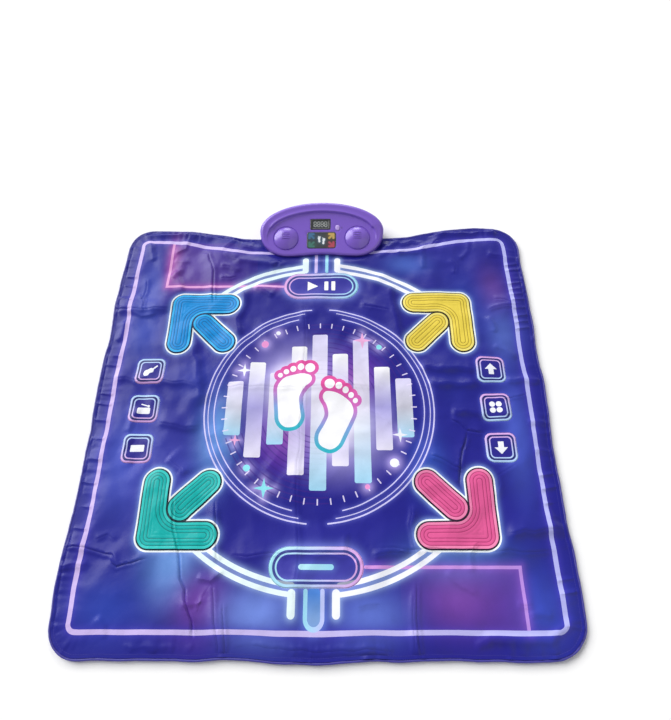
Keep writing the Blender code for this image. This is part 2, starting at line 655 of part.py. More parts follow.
def base_shell(plastic):
    """The lower shell: a tray over the mat's edge, a floor behind it, bosses and the battery box."""
    def prism(inset, low, high):
        """The unit's outline between two heights."""
        return loft("prism", [[(x, y, z) for x, y in unit_outline(inset)] for z in (low, high)])

    shell = prism(SHADOW_LINE, BASE_BOTTOM, BASE_TOP)
    shell.name = "base_shell"
    shell.data.materials.append(plastic)
    side, far = UNIT_WIDTH, UNIT_REAR + UNIT_WIDTH
    inside = WALL + SHADOW_LINE
    well = prism(inside, FLOOR_TOP, 2 * BASE_TOP)
    combine(well, box("rear", (-side, STEP_REAR, 0), (side, far, 3 * BASE_TOP)), "INTERSECT")
    mat_room = box("mat_room", (-side, 0, -BASE_TOP), (side, STEP_FRONT, TRAY_BOTTOM))
    combine(shell, [well, mat_room, prism(inside, TRAY_TOP, 2 * BASE_TOP)])
    sunk = BASE_BOTTOM + BASE_FLOOR / 2
    wide, deep = BOX_HALF_X + BOX_WALL, BOX_HALF_Y + BOX_WALL
    door_boss_top = BASE_BOTTOM + DOOR_THICKNESS + DOOR_SCREW_LENGTH + BOX_WALL
    added = [peg(place, BOSS_RADIUS, sunk, BASE_TOP) for place in boss_places().values()]
    added.append(peg((DOOR_SCREW_X, BOX_Y), BOSS_RADIUS, sunk, door_boss_top))
    added.append(box("battery_box", (-wide, BOX_Y - deep, sunk), (wide, BOX_Y + deep, BOX_ROOF + BOX_WALL)))
    combine(shell, added, "UNION")
    low, high = door_corners(GAP)
    room_low, room_high = (-BOX_HALF_X, BOX_Y - BOX_HALF_Y), (BOX_HALF_X, BOX_Y + BOX_HALF_Y)
    tab_room = TAB_HALF_WIDTH + PAD_CLEARANCE
    slot_top = CLAMP_LOW + TAIL_THICKNESS + GAP
    combine(shell, [box("cell_room", (*room_low, 0), (*room_high, BOX_ROOF)),
                    box("door_seat", (*low, 0), (*high, BASE_BOTTOM + DOOR_THICKNESS + GAP))])
    slot_front, slot_rear = STEP_FRONT - GAP, STEP_REAR + GAP
    combine(shell, box("slot", (-tab_room, slot_front, FLOOR_TOP), (tab_room, slot_rear, slot_top)))
    bores = [peg((DOOR_SCREW_X, BOX_Y), SCREW_RADIUS + SCREW_CLEARANCE, 0, door_boss_top - BOX_WALL / 2)]
    bores += [stepped_bore(place, screw_seat()) for place in boss_places().values()]
    for side_x in (-1, 1):
        bores.append(stepped_bore((side_x * CLAMP_SCREW_X, CLAMP_Y), clamp_screw_seat()))
        foot = (side_x * foot_x(), UNIT_REAR - FOOT_SETBACK)
        bores.append(peg(foot, FOOT_RADIUS + GAP, 0, BASE_BOTTOM + FOOT_SINK))
    combine(shell, bores)
    return shell


def stepped_bore(place, seat):
    """A tool for a screw's hole with a wider part for its head below the seat."""
    bore, head, top = SCREW_RADIUS + SCREW_CLEARANCE, SCREW_HEAD_RADIUS + SCREW_CLEARANCE, 2 * BASE_TOP
    tool = turned("bore", [(0, 0), (head, 0), (head, seat), (bore, seat), (bore, top), (0, top)])
    tool.location = (*place, 0)
    return tool


def foot_x():
    """How far the two feet stand from the middle."""
    return UNIT_WIDTH / 2 - FOOT_MARGIN


def clamp_screw_seat():
    """Height of the shoulder that the clamp screws' heads pull on."""
    return BASE_BOTTOM + SCREW_HEAD_HEIGHT + GAP


def door_corners(grow=0.0):
    """The battery door's lowest and highest corner from above, grown all round."""
    reach_x, reach_y = BOX_HALF_X + DOOR_LIP[0] + grow, BOX_HALF_Y + DOOR_LIP[1] + grow
    return (-reach_x, BOX_Y - reach_y), (reach_x + DOOR_TAB, BOX_Y + reach_y)


def battery_door(plastic):
    """The door, with a raised middle that fills the battery box's mouth, and its captive screw."""
    low, high = door_corners()
    step = BASE_BOTTOM + DOOR_THICKNESS
    plate = box("battery_door", (*low, BASE_BOTTOM), (*high, step), plastic)
    x, y, sunk = BOX_HALF_X - GAP, BOX_HALF_Y - GAP, step - DOOR_THICKNESS / 2
    combine(plate, box("middle", (-x, BOX_Y - y, sunk), (x, BOX_Y + y, DOOR_TOP)), "UNION")
    seat = step - DOOR_WEB
    combine(plate, stepped_bore((DOOR_SCREW_X, BOX_Y), seat))
    screw("battery_door_screw", (DOOR_SCREW_X, BOX_Y), seat - GAP, DOOR_SCREW_LENGTH, DOOR_SCREW_HEAD)


def screw(name, place, shoulder, length, head_height=SCREW_HEAD_HEIGHT):
    """A screw standing head down, with its head's upper side at the shoulder's height."""
    low = shoulder - head_height
    profile = [(0, low), (SCREW_HEAD_RADIUS - SCREW_CHAMFER, low), (SCREW_HEAD_RADIUS, low + SCREW_CHAMFER),
               (SCREW_HEAD_RADIUS, shoulder), (SCREW_RADIUS, shoulder),
               (SCREW_RADIUS, shoulder + length - SCREW_RADIUS), (0, shoulder + length)]
    made = turned(name, profile, finish(name, (0.62, 0.63, 0.65), 0.35, 1.0), steps=SCREW_STEPS)
    made.location = (*place, 0)
    return made


def fasteners_and_clamp():
    """The clamp bar with its two screws, the four shell screws and the two rubber feet."""
    low = (-TAB_HALF_WIDTH, CLAMP_Y - CLAMP_DEPTH / 2, CLAMP_LOW)
    high = (TAB_HALF_WIDTH, CLAMP_Y + CLAMP_DEPTH / 2, CLAMP_LOW + CLAMP_HEIGHT)
    bar = box("clamp_bar", low, high, finish("clamp_plastic", (0.16, 0.16, 0.18), 0.6))
    side, top = TAIL_HALF_WIDTH + PAD_CLEARANCE, CLAMP_LOW + TAIL_THICKNESS + GAP
    combine(bar, box("relief", (-side, CLAMP_Y - CLAMP_DEPTH, 0), (side, CLAMP_Y + CLAMP_DEPTH, top)))
    tab = bpy.data.objects["mat_tab"]
    for side, name in ((-1, "left"), (1, "right")):
        place = (side * CLAMP_SCREW_X, CLAMP_Y)
        for piece in (bar, tab):
            combine(piece, peg(place, SCREW_RADIUS + SCREW_CLEARANCE, 0, CLAMP_LOW + CLAMP_HEIGHT - 2 * GAP))
        screw(f"clamp_screw_{name}", place, clamp_screw_seat() - GAP, CLAMP_SCREW_LENGTH)
        foot = turned(f"rubber_foot_{name}", [(0, 0), (FOOT_RADIUS - GAP, 0), (FOOT_RADIUS, GAP),
                                              (FOOT_RADIUS, BASE_BOTTOM + FOOT_SINK - GAP),
                                              (0, BASE_BOTTOM + FOOT_SINK - GAP)],
                      finish("foot_rubber", (0.07, 0.07, 0.08), 0.85))
        foot.location = (side * foot_x(), UNIT_REAR - FOOT_SETBACK, 0)
    for name, place in boss_places().items():
        screw(f"shell_screw_{name}", place, screw_seat() - GAP, SCREW_LENGTH)


def display_and_panel(frame):
    """The score display in its bezel, and the light panel with its film and five lamps."""
    place = (DISPLAY_X, DISPLAY_T)
    frame_outline = placed(rounded_rect(DISPLAY_SIZE, DISPLAY_ROUND, DISPLAY_STEPS), place)
    opening = placed(rounded_rect(DISPLAY_WINDOW, DISPLAY_ROUND / 2, 1), place)
    slab("display_bezel", frame_outline, -WALL, DISPLAY_PROUD, finish("bezel", (0.05, 0.05, 0.06), 0.3),
         [opening], frame)
    low, shoulder = BOARD_TOP + GAP, -WALL - GAP
    body, glass = [s - 2 * GAP for s in DISPLAY_SIZE], [s - 2 * GAP for s in DISPLAY_WINDOW]
    rings = []
    for size, height in ((body, low), (body, shoulder), (glass, shoulder), (glass, 0)):
        rings.append([(x, y, height) for x, y in placed(rounded_rect(size, DISPLAY_ROUND / 2, 1), place)])
    loft("display_module", rings, finish("display_glass", (0.55, 0.60, 0.58), 0.15), frame)
    place = (PANEL_X, PANEL_T)
    outline = placed(rounded_rect(PANEL_SIZE, PANEL_ROUND, PANEL_STEPS), place)
    window_low = PANEL_PROUD - PANEL_THICKNESS
    slab("panel_window", outline, window_low, PANEL_PROUD, finish("smoked_window", (0.03, 0.03, 0.05), 0.1),
         parent=frame)
    film_top = window_low - GAP
    slab("panel_film", outline, film_top - PANEL_FILM_THICKNESS, film_top,
         finish("printed_film", (0.12, 0.16, 0.18), 0.5), parent=frame)
    lamp_top = film_top - PANEL_FILM_THICKNESS - GAP
    spots = [("centre", 0, 0)]
    for end, side_y in (("rear", 1), ("front", -1)):
        for side, side_x in (("left", -1), ("right", 1)):
            spots.append((f"{end}_{side}", side_x, side_y))
    for name, side_x, side_y in spots:
        dome = arc((0, lamp_top - LED_RADIUS), (LED_RADIUS, LED_RADIUS), 0, 90, 2)
        profile = [(0, low), (LED_RADIUS, low)] + dome[:-1] + [(0, lamp_top)]
        resin = finish("led_resin", (0.90, 0.92, 0.95), 0.2)
        lamp = turned(f"led_{name}", profile, resin, frame, SCREW_STEPS)
        lamp.location = (PANEL_X + side_x * LED_SPREAD[0], PANEL_T + side_y * LED_SPREAD[1], 0)


def power_button(frame, plastic):
    """The oval push button, whose stem meets a small switch on the board."""
    low = BOARD_TOP + GAP
    tact_top = low + TACT_HEIGHT
    flange_top = -WALL - GAP
    flange_low = flange_top - SWITCH_FLANGE
    stem_low = tact_top + SWITCH_TRAVEL + GAP
    flange = [s + 2 * SWITCH_FLANGE for s in SWITCH_CAP]
    stem = [2 * SWITCH_STEM_RADIUS] * 2
    crown = [s * SWITCH_CROWN for s in SWITCH_CAP]
    rings = []
    for size, height in ((stem, stem_low), (stem, flange_low), (flange, flange_low), (flange, flange_top),
                         (SWITCH_CAP, flange_top), (SWITCH_CAP, SWITCH_PROUD * SWITCH_SHOULDER),
                         (crown, SWITCH_PROUD)):
        rings.append([(x, y, height) for x, y in upright_pill(size)])
    button = loft("power_button", rings, plastic, frame)
    button.location = (SWITCH_X, SWITCH_T, 0)
    half = TACT_SIZE / 2
    box("tact_switch", (SWITCH_X - half, SWITCH_T - half, low), (SWITCH_X + half, SWITCH_T + half, tact_top),
        finish("switch_body", (0.12, 0.12, 0.13), 0.5), frame)


def speakers(frame, plastic):
    """Two speakers, each under a domed cover with sound slots."""
    rise = GRILLE_HEIGHT - GRILLE_SINK / 2
    sphere = (GRILLE_RADIUS ** 2 + rise ** 2) / (2 * rise)

    def dome(radius, rim, steps):
        """Points of a dome's half section from its rim up to its top."""
        lean = math.degrees(math.acos(rim / radius))
        points = arc((0, GRILLE_HEIGHT - sphere), (radius, radius), lean, 90, steps)
        return points[:-1] + [(0, points[-1][1])]

    low = GAP - GRILLE_SINK
    outer = dome(sphere, GRILLE_RADIUS, DOME_STEPS)
    inner = dome(sphere - GRILLE_WALL, GRILLE_RADIUS - GRILLE_WALL, DOME_STEPS // 2)
    profile = outer[::-1] + [(GRILLE_RADIUS, low), (GRILLE_RADIUS - GRILLE_WALL, low)] + inner
    metal = finish("speaker_metal", (0.35, 0.36, 0.38), 0.4, 0.8)
    for name, place in grille_places().items():
        cover = turned(f"speaker_cover_{name}", profile, plastic, frame, GRILLE_STEPS)
        cover.location = (*place, 0)
        slots = []
        for k in range(GRILLE_SLOTS):
            t = place[1] + SLOT_PITCH * (k - GRILLE_SLOTS / 2 + 1)
            low_corner = (place[0] - SLOT_LENGTH / 2, t - SLOT_WIDTH / 2, GRILLE_HEIGHT / 3)
            high_corner = (place[0] + SLOT_LENGTH / 2, t + SLOT_WIDTH / 2, 2 * GRILLE_HEIGHT)
            slots.append(box("slot", low_corner, high_corner, parent=frame))
        combine(cover, slots)
        top = -WALL - GAP
        rim, back = top - SPEAKER_RIM, top - SPEAKER_RIM - MAGNET_DEPTH
        driver = turned(f"speaker_{name}", [(0, top), (SPEAKER_RADIUS, top), (SPEAKER_RADIUS, rim),
                                            (MAGNET_RADIUS, rim), (MAGNET_RADIUS, back), (0, back)],
                        metal, frame, ROUND_STEPS)
        driver.location = (*place, 0)


def main_board(frame):
    """The circuit board, screwed to the two upper posts."""
    low, high = (-BOARD_HALF_WIDTH, BOARD_T[0], BOARD_LOW), (BOARD_HALF_WIDTH, BOARD_T[1], BOARD_TOP)
    board = box("main_board", low, high, finish("board_laminate", (0.05, 0.30, 0.16), 0.5), frame)
    metal = finish("board_screw_steel", (0.62, 0.63, 0.65), 0.35, 1.0)
    head_top = BOARD_LOW - GAP
    for name, place in zip(("left", "right"), post_places()[2:]):
        combine(board, peg(place, BOARD_SCREW_RADIUS + GAP, 2 * BOARD_LOW, 0, frame))
        profile = [(0, head_top - BOARD_SCREW_RADIUS), (BOARD_SCREW_HEAD, head_top - BOARD_SCREW_RADIUS),
                   (BOARD_SCREW_HEAD, head_top), (BOARD_SCREW_RADIUS, head_top),
                   (BOARD_SCREW_RADIUS, -WALL - 3 * GAP), (0, -WALL - 3 * GAP)]
        made = turned(f"board_screw_{name}", profile, metal, frame, SCREW_STEPS)
        made.location = (*place, 0)


def batteries():
    """Three cells side by side between two contact plates."""
    label = finish("cell_label", (0.12, 0.12, 0.13), 0.4, 0.3)
    nub_radius, nub_height = CELL_NUB
    half, body_end = CELL_LENGTH / 2, CELL_LENGTH / 2 - nub_height
    rows = [BOX_Y + (k - (CELL_COUNT - 1) / 2) * CELL_PITCH for k in range(CELL_COUNT)]
    profile = [(0, -half), (CELL_RADIUS, -half), (CELL_RADIUS, body_end), (nub_radius, body_end),
               (nub_radius, half), (0, half)]
    for k, y in enumerate(rows):
        cell = turned(f"battery_{k + 1}", profile, label, axis="X")
        cell.location = (0, y, CELL_Z)
        if k % 2:
            cell.rotation_euler = (0, 0, math.pi)
    steel = finish("contact_steel", (0.75, 0.74, 0.72), 0.3, 1.0)
    reach_y = BOX_HALF_Y - GAP
    for side, name in ((-1, "left"), (1, "right")):
        face = half + GAP + CONTACT_BUMP
        back = face + CONTACT_THICKNESS
        low_x, high_x = sorted((side * face, side * back))
        plate = box(f"battery_contact_{name}", (low_x, BOX_Y - reach_y, DOOR_TOP + GAP),
                    (high_x, BOX_Y + reach_y, BOX_ROOF - GAP), steel)
        reach = -CONTACT_BUMP - CONTACT_THICKNESS / 2
        bumps = []
        for y in rows:
            profile = [(0, reach), (nub_radius, reach), (nub_radius, 0), (0, 0)]
            bump = turned("bump", profile, axis="X", steps=SCREW_STEPS)
            bump.rotation_euler = (0, 0, 0 if side > 0 else math.pi)
            bump.location = (side * (face + CONTACT_THICKNESS / 2), y, CELL_Z)
            bumps.append(bump)
        combine(plate, bumps, "UNION")


def main():
    """Build every piece of the mat and of its control unit."""
    clear_scene()
    purple = finish("purple_abs", (0.45, 0.33, 0.71), 0.35)
    dark = finish("base_abs", (0.40, 0.29, 0.64), 0.45)
    mat_layers()
    edge_binding()
    press_pads()
    mat_tab_and_tail()
    frame = face_frame()
    face_shell(frame, purple)
    base_shell(dark)
    battery_door(dark)
    batteries()
    main_board(frame)
    display_and_panel(frame)
    power_button(frame, purple)
    speakers(frame, purple)
    fasteners_and_clamp()


main()
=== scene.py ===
"""Electronic dance mat: the finish of the printed mat and of its control unit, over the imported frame.

+X is the player's right, +Y the rear, where the control unit stands, and +Z is up. Meshes are in metres.
Print, relief and outlines are drawn in millimetres, seen from above, and are turned to metres in the mesh.
"""

import logging
from collections.abc import Callable, Iterable, Iterator, Sequence
from contextlib import contextmanager
from dataclasses import dataclass, field
from enum import Enum
from functools import lru_cache
from math import atan2, ceil, cos, degrees, pi, radians, sin, sqrt, tan

import bmesh
import bpy
import numpy as np
from bpy.types import ID, Material, Node, NodeSocket, NodeTree, Object
from mathutils import Matrix, Vector
from mathutils.geometry import delaunay_2d_cdt
from numpy.linalg import norm


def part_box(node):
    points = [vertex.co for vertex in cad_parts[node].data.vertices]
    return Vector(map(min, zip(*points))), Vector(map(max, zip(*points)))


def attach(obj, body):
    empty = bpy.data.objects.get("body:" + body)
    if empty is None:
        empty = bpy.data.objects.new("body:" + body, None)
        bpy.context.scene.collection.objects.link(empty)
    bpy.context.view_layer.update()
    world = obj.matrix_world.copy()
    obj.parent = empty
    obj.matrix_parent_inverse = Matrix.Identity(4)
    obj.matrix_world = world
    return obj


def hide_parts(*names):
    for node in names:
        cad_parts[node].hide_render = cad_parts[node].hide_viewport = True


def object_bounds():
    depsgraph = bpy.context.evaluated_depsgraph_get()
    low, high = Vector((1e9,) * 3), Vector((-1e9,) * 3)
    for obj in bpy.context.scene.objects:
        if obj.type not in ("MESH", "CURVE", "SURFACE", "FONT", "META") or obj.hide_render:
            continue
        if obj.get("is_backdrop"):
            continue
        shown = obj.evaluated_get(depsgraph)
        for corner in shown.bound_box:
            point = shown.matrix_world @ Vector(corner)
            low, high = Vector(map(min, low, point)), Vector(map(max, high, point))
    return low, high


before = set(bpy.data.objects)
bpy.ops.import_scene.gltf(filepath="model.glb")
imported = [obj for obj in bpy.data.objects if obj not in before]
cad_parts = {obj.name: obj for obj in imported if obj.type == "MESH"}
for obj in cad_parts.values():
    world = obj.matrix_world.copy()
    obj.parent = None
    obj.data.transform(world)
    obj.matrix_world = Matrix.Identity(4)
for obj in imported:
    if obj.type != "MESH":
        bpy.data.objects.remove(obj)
CAD_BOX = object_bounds()

LOG = logging.getLogger("dance_mat")
MM = 0.001
SHARP_ANGLE = radians(40)           # edges that bend by more are drawn sharp
GROWN_SHARP_ANGLE = radians(45)     # the same for what a tree makes
RING_POINTS = 36
Points = np.ndarray
Place = tuple[float, float]


# Colours and nodes

def linear(colour: str) -> np.ndarray:
    """Turn an sRGB hex colour to linear red, green and blue."""
    srgb = np.array([int(colour[k:k + 2], 16) / 255 for k in (1, 3, 5)])
    return np.where(srgb <= 0.04045, srgb / 12.92, ((srgb + 0.055) / 1.055) ** 2.4)


def feed(node: Node, inputs: dict | Sequence) -> None:
    """Fill a node's inputs.

    Args:
        node: the node.
        inputs: by name, by number or in order. A socket is linked, also several in a list, and a value is set.
    """
    for name, value in (inputs if isinstance(inputs, dict) else dict(enumerate(inputs))).items():
        if isinstance(value, (NodeSocket, list)):
            for source in value if isinstance(value, list) else [value]:
                node.id_data.links.new(source, node.inputs[name])
        else:
            node.inputs[name].default_value = value


def add_node(tree: NodeTree, kind: str, inputs: dict | Sequence = (), output: int | str = 0,
             **settings: object) -> NodeSocket | None:
    """Add one node to a tree.

    Args:
        tree: the material, world or geometry tree that gets it.
        kind: the node's type.
        inputs: what its inputs get.
        output: the name or number of the output that is wanted.
        settings: values of the node's own attributes.

    Returns:
        The wanted output, if the node has any.
    """
    node = tree.nodes.new(kind)
    for name, value in settings.items():
        setattr(node, name, value)
    feed(node, inputs)
    return node.outputs[output] if node.outputs else None


def calculate(tree: NodeTree, operation: str, *values: NodeSocket | float) -> NodeSocket:
    """The result of one sum on sockets and plain numbers."""
    return add_node(tree, "ShaderNodeMath", values, operation=operation)


class Pattern(Enum):
    """How a finish is broken up."""

    GRAIN = "fine even grain"
    CRINKLE = "shallow crinkles of a film"
    WEAVE = "threads over and under"
    BRUSHED = "fine parallel scratches"
    PORES = "open cells"
    TRACKS = "printed lines"


@dataclass(frozen=True)
class Finish:
    """One surface: its colours, its gloss and its pattern at its real size."""

    name: str
    colour: str
    second: str
    pattern: Pattern
    size: float                 # of the pattern, mm
    depth: float                # of its relief, mm
    roughness: float
    spread: float = 0.05        # of the roughness
    metallic: float = 0.0
    ior: float = 1.5
    coat: float = 0.0
    clear: float = 0.0
    printed: str = ""           # colour attribute that the print is stored in
    blotch: float = 60.0        # size of the slow change of tone, mm

    def height(self, tree: NodeTree, where: NodeSocket) -> NodeSocket:
        """Build the pattern.

        Args:
            tree: the material's tree.
            where: object coordinates.

        Returns:
            A socket that runs from 0 to 1 over the pattern.
        """
        scale = 1 / (self.size * MM)
        if self.pattern is Pattern.WEAVE:
            return calculate(tree, "MAXIMUM", *(
                add_node(tree, "ShaderNodeTexWave", {"Vector": where, "Scale": scale / 3.2, "Distortion": 0.4}, "Fac",
                         bands_direction=axis) for axis in ("X", "Y")))
        if self.pattern is Pattern.PORES:
            return add_node(tree, "ShaderNodeTexVoronoi", {"Vector": where, "Scale": scale})
        if self.pattern is Pattern.TRACKS:
            lines = add_node(tree, "ShaderNodeTexWave", {"Vector": where, "Scale": scale / 6.3, "Distortion": 1.5,
                                                         "Detail": 0.0}, "Fac")
            return add_node(tree, "ShaderNodeMapRange", {"Value": lines, "From Min": 0.70, "From Max": 0.76})
        if self.pattern is Pattern.BRUSHED:
            where = add_node(tree, "ShaderNodeMapping", {"Vector": where, "Scale": (1.0, 14.0, 14.0)})
        detail = 5.0 if self.pattern is Pattern.CRINKLE else 2.0
        return add_node(tree, "ShaderNodeTexNoise", {"Vector": where, "Scale": scale, "Detail": detail,
                                                     "Roughness": 0.55})

    def material(self) -> Material:
        """The material, built when a piece first asks for it.

        Returns:
            The material.
        """
        made = bpy.data.materials.get(self.name)
        if made is not None:
            return made
        made = bpy.data.materials.new(self.name)
        made.use_nodes = True
        tree = made.node_tree
        where = add_node(tree, "ShaderNodeTexCoord", output="Object")
        pattern = self.height(tree, where)
        slow = add_node(tree, "ShaderNodeTexNoise", {"Vector": where, "Scale": 1 / (self.blotch * MM), "Detail": 3.0})
        tone = calculate(tree, "MULTIPLY_ADD", pattern, 0.5, calculate(tree, "MULTIPLY", slow, 0.5))
        if self.printed:
            ink = add_node(tree, "ShaderNodeAttribute", output="Color", attribute_name=self.printed)
            shade = add_node(tree, "ShaderNodeMapRange", {"Value": tone, "To Min": 0.90, "To Max": 1.08})
            colour = add_node(tree, "ShaderNodeMix", {0: 1.0, 6: ink, 7: shade}, 2, data_type="RGBA",
                              blend_type="MULTIPLY")
        else:
            colour = add_node(tree, "ShaderNodeMix", {0: tone, 6: (*linear(self.colour), 1.0),
                                                      7: (*linear(self.second), 1.0)}, 2, data_type="RGBA")
        gloss = add_node(tree, "ShaderNodeMapRange", {"Value": tone, "To Min": self.roughness - self.spread,
                                                      "To Max": self.roughness + self.spread})
        bump = add_node(tree, "ShaderNodeBump", {"Height": pattern, "Distance": self.depth * MM, "Strength": 1.0})
        shader = tree.nodes["Principled BSDF"]
        feed(shader, {"Base Color": colour, "Roughness": gloss, "Normal": bump, "Metallic": self.metallic,
                      "Coat Weight": self.coat, "Transmission Weight": self.clear})
        if not self.metallic:
            shader.inputs["IOR"].default_value = self.ior
        return made


# Laminated film over polyester: the print sits under a thin gloss that crinkles where the mat was folded.
PRINTED_FILM = Finish("laminated_film_printed", "#3A3494", "#3A3494", Pattern.CRINKLE, 14.0, 0.4, 0.36, 0.05,
                      ior=1.30, printed="print")
# The same film wrapped round the mat's edge and sewn down, so its gloss breaks up in small puckers.
EDGE_FILM = Finish("laminated_film_edge", "#2C2880", "#3D3899", Pattern.CRINKLE, 6.0, 0.30, 0.42, 0.06, ior=1.48)
# Spun polyester sewing thread: matt, with a twist that is too fine to show.
THREAD = Finish("polyester_thread_spun", "#3A3590", "#5A55B0", Pattern.GRAIN, 0.5, 0.05, 0.75)
# Woven polyester under the mat, dull and dark; its threads are drawn 1.2 mm wide so that they show.
GROUND_CLOTH = Finish("polyester_cloth_woven", "#17171E", "#2A2A34", Pattern.WEAVE, 1.2, 0.20, 0.88)
# Soft vinyl dots printed on the cloth, with the dull shine of a cured rubbery paint.
GRIP_DOT = Finish("vinyl_dots_screen_printed", "#23232A", "#30303A", Pattern.GRAIN, 0.8, 0.05, 0.60)
# Injection moulded ABS in a polished tool: smooth, with a soft sheen and wide highlights.
FACE_ABS = Finish("abs_moulded_purple", "#7652C6", "#815DD0", Pattern.GRAIN, 0.9, 0.012, 0.25, 0.04, ior=1.53)
# The lower shell: a darker, greyer purple than the face, and duller.
BASE_ABS = Finish("abs_moulded_base", "#5A46A0", "#6450AA", Pattern.GRAIN, 0.8, 0.03, 0.42, 0.05, ior=1.53)
# The push button, moulded in a pale lavender.
BUTTON_ABS = Finish("abs_moulded_lavender", "#B79BE6", "#C3A9EE", Pattern.GRAIN, 0.8, 0.01, 0.32, 0.04, ior=1.53)
# Black ABS with a high polish, for the display's frame.
GLOSS_ABS = Finish("abs_polished_black", "#0B0B10", "#14141A", Pattern.GRAIN, 0.7, 0.004, 0.16, 0.03, ior=1.53)
# Smoked acrylic over a printed film: nearly black, sharp gloss, the figures just under it.
SMOKED_ACRYLIC = Finish("acrylic_smoked_printed", "#0D1820", "#0D1820", Pattern.GRAIN, 2.0, 0.002, 0.12, 0.02,
                        ior=1.49, coat=0.4, printed="print")
# The display's polariser, a grey film with a faint green tint under a clear plate.
DISPLAY_FILM = Finish("polariser_film_laminated", "#20282C", "#2A3236", Pattern.GRAIN, 1.5, 0.002, 0.20, 0.03)
# The digits' pale segments, at rest.
DIGIT_FILM = Finish("segment_film_screen_printed", "#D4DAD8", "#E2E6E4", Pattern.GRAIN, 1.0, 0.002, 0.35, 0.03)
# Pad printed sign on the shell: a thin matt ink.
SIGN_INK = Finish("pad_printed_ink", "#2A1D55", "#33255F", Pattern.GRAIN, 0.6, 0.004, 0.55)
# Zinc plated steel screws: bright, with fine turning marks.
ZINC_STEEL = Finish("steel_zinc_plated", "#B9BCC2", "#D2D4D8", Pattern.BRUSHED, 1.5, 0.01, 0.32, 0.06, 1.0)
# Moulded rubber feet: deep grey, dull, with a dusty bloom.
FOOT_RUBBER = Finish("rubber_moulded", "#131316", "#222226", Pattern.GRAIN, 0.6, 0.04, 0.80)
# Open-cell polyurethane foam: cream, dull and full of pores.
FOAM = Finish("polyurethane_foam_cut", "#DADADF", "#F0F0F2", Pattern.PORES, 1.5, 0.3, 0.95)
# Polyester film with silver-grey conductive ink lines.
CIRCUIT_FILM = Finish("polyester_film_screen_printed", "#D5DADD", "#70757C", Pattern.TRACKS, 6.0, 0.01, 0.30)
# Nylon webbing: dark, dull, with wide ribs.
WEBBING = Finish("nylon_webbing_woven", "#1B1B24", "#2C2C38", Pattern.WEAVE, 1.6, 0.25, 0.85)
# Glass-fibre laminate under green solder resist, with the copper lines showing through.
LAMINATE = Finish("laminate_solder_masked", "#0E5A30", "#1A7A44", Pattern.TRACKS, 3.0, 0.03, 0.38)
# Black polyamide parts inside: the clamp bar and the small switch.
BLACK_POLYAMIDE = Finish("polyamide_moulded_black", "#18181B", "#232327", Pattern.GRAIN, 0.7, 0.03, 0.55)
# Clear epoxy of the lamps: nearly white and glossy.
LAMP_EPOXY = Finish("epoxy_cast_clear", "#E6EAF0", "#F4F6F8", Pattern.GRAIN, 1.0, 0.002, 0.12, 0.02, clear=0.6)
# Pressed steel of the speakers' baskets and of the battery contacts: greyish, softly brushed.
PRESSED_STEEL = Finish("steel_pressed", "#8E9196", "#A9ACB0", Pattern.BRUSHED, 1.0, 0.01, 0.36, 0.06, 1.0)
# Nickel plated spring steel: warmer and brighter.
NICKEL_STEEL = Finish("steel_nickel_plated", "#C2BDB0", "#D8D4C8", Pattern.BRUSHED, 1.0, 0.01, 0.26, 0.05, 1.0)
# Shrink-wrapped label of a plain battery: dark with a satin gloss.
CELL_LABEL = Finish("label_shrink_wrapped", "#1E2024", "#3A3D44", Pattern.BRUSHED, 3.0, 0.01, 0.34, 0.05)
# Rolled white paint on the studio's floor: dull and even, with no relief.
FLOOR_PAINT = Finish("floor_paint_rolled", "#FFFFFF", "#FFFFFF", Pattern.GRAIN, 4.0, 0.0, 0.9, 0.02)


# Flat shapes, in millimetres

def arc(centre: Place, radius: float, start: float, stop: float, step: float = 1.6) -> Points:
    """Points on an arc, both ends included.

    Args:
        centre: the arc's centre.
        radius: its radius.
        start: first angle, in degrees.
        stop: last angle, in degrees.
        step: most distance between two points.

    Returns:
        The points in order.
    """
    span = abs(radians(stop - start))
    count = max(ceil(span * radius / step), ceil(span / radians(24)), 1)
    angles = np.radians(np.linspace(start, stop, count + 1))
    return np.column_stack((centre[0] + radius * np.cos(angles), centre[1] + radius * np.sin(angles)))


def rounded_box(centre: Place, size: Place, radius: float, step: float = 1.6) -> Points:
    """A rectangle with round corners, counter-clockwise.

    Args:
        centre: its middle.
        size: its width and depth.
        radius: of its corners.
        step: most distance between two points.

    Returns:
        The outline.
    """
    x, y = size[0] / 2 - radius, size[1] / 2 - radius
    corners = ((x, y, 0), (-x, y, 90), (-x, -y, 180), (x, -y, 270))
    return np.vstack([arc((centre[0] + cx, centre[1] + cy), radius, turn, turn + 90, step)
                      for cx, cy, turn in corners])


def capsule(start: Place, end: Place, radius: float, step: float = 1.6) -> Points:
    """A strip with round ends between two points, counter-clockwise."""
    lean = degrees(atan2(end[1] - start[1], end[0] - start[0]))
    return np.vstack((arc(end, radius, lean - 90, lean + 90, step), arc(start, radius, lean + 90, lean + 270, step)))


def disc(centre: Place, radius: float, step: float = 1.6) -> Points:
    """A circle, counter-clockwise."""
    return arc(centre, radius, 0, 360, step)[:-1]


def unit(vectors: np.ndarray) -> np.ndarray:
    """The vectors, each made one long."""
    return vectors / np.maximum(norm(vectors, axis=1, keepdims=True), 1e-9)


def normals(line: Points, closed: bool) -> Points:
    """Directions to the right of a line, lengthened at corners so that offsets stay parallel.

    Args:
        line: the line's points.
        closed: whether it comes back to its start.

    Returns:
        One vector for each point.
    """
    if closed:
        before, after = line - np.roll(line, 1, axis=0), np.roll(line, -1, axis=0) - line
    else:
        steps = np.diff(line, axis=0)
        before, after = np.vstack((steps[:1], steps)), np.vstack((steps, steps[-1:]))
    after = unit(after)
    middle = unit(unit(before) + after)
    stretch = 1 / np.maximum((middle * after).sum(axis=1, keepdims=True), 0.5)
    return np.column_stack((middle[:, 1], -middle[:, 0])) * stretch


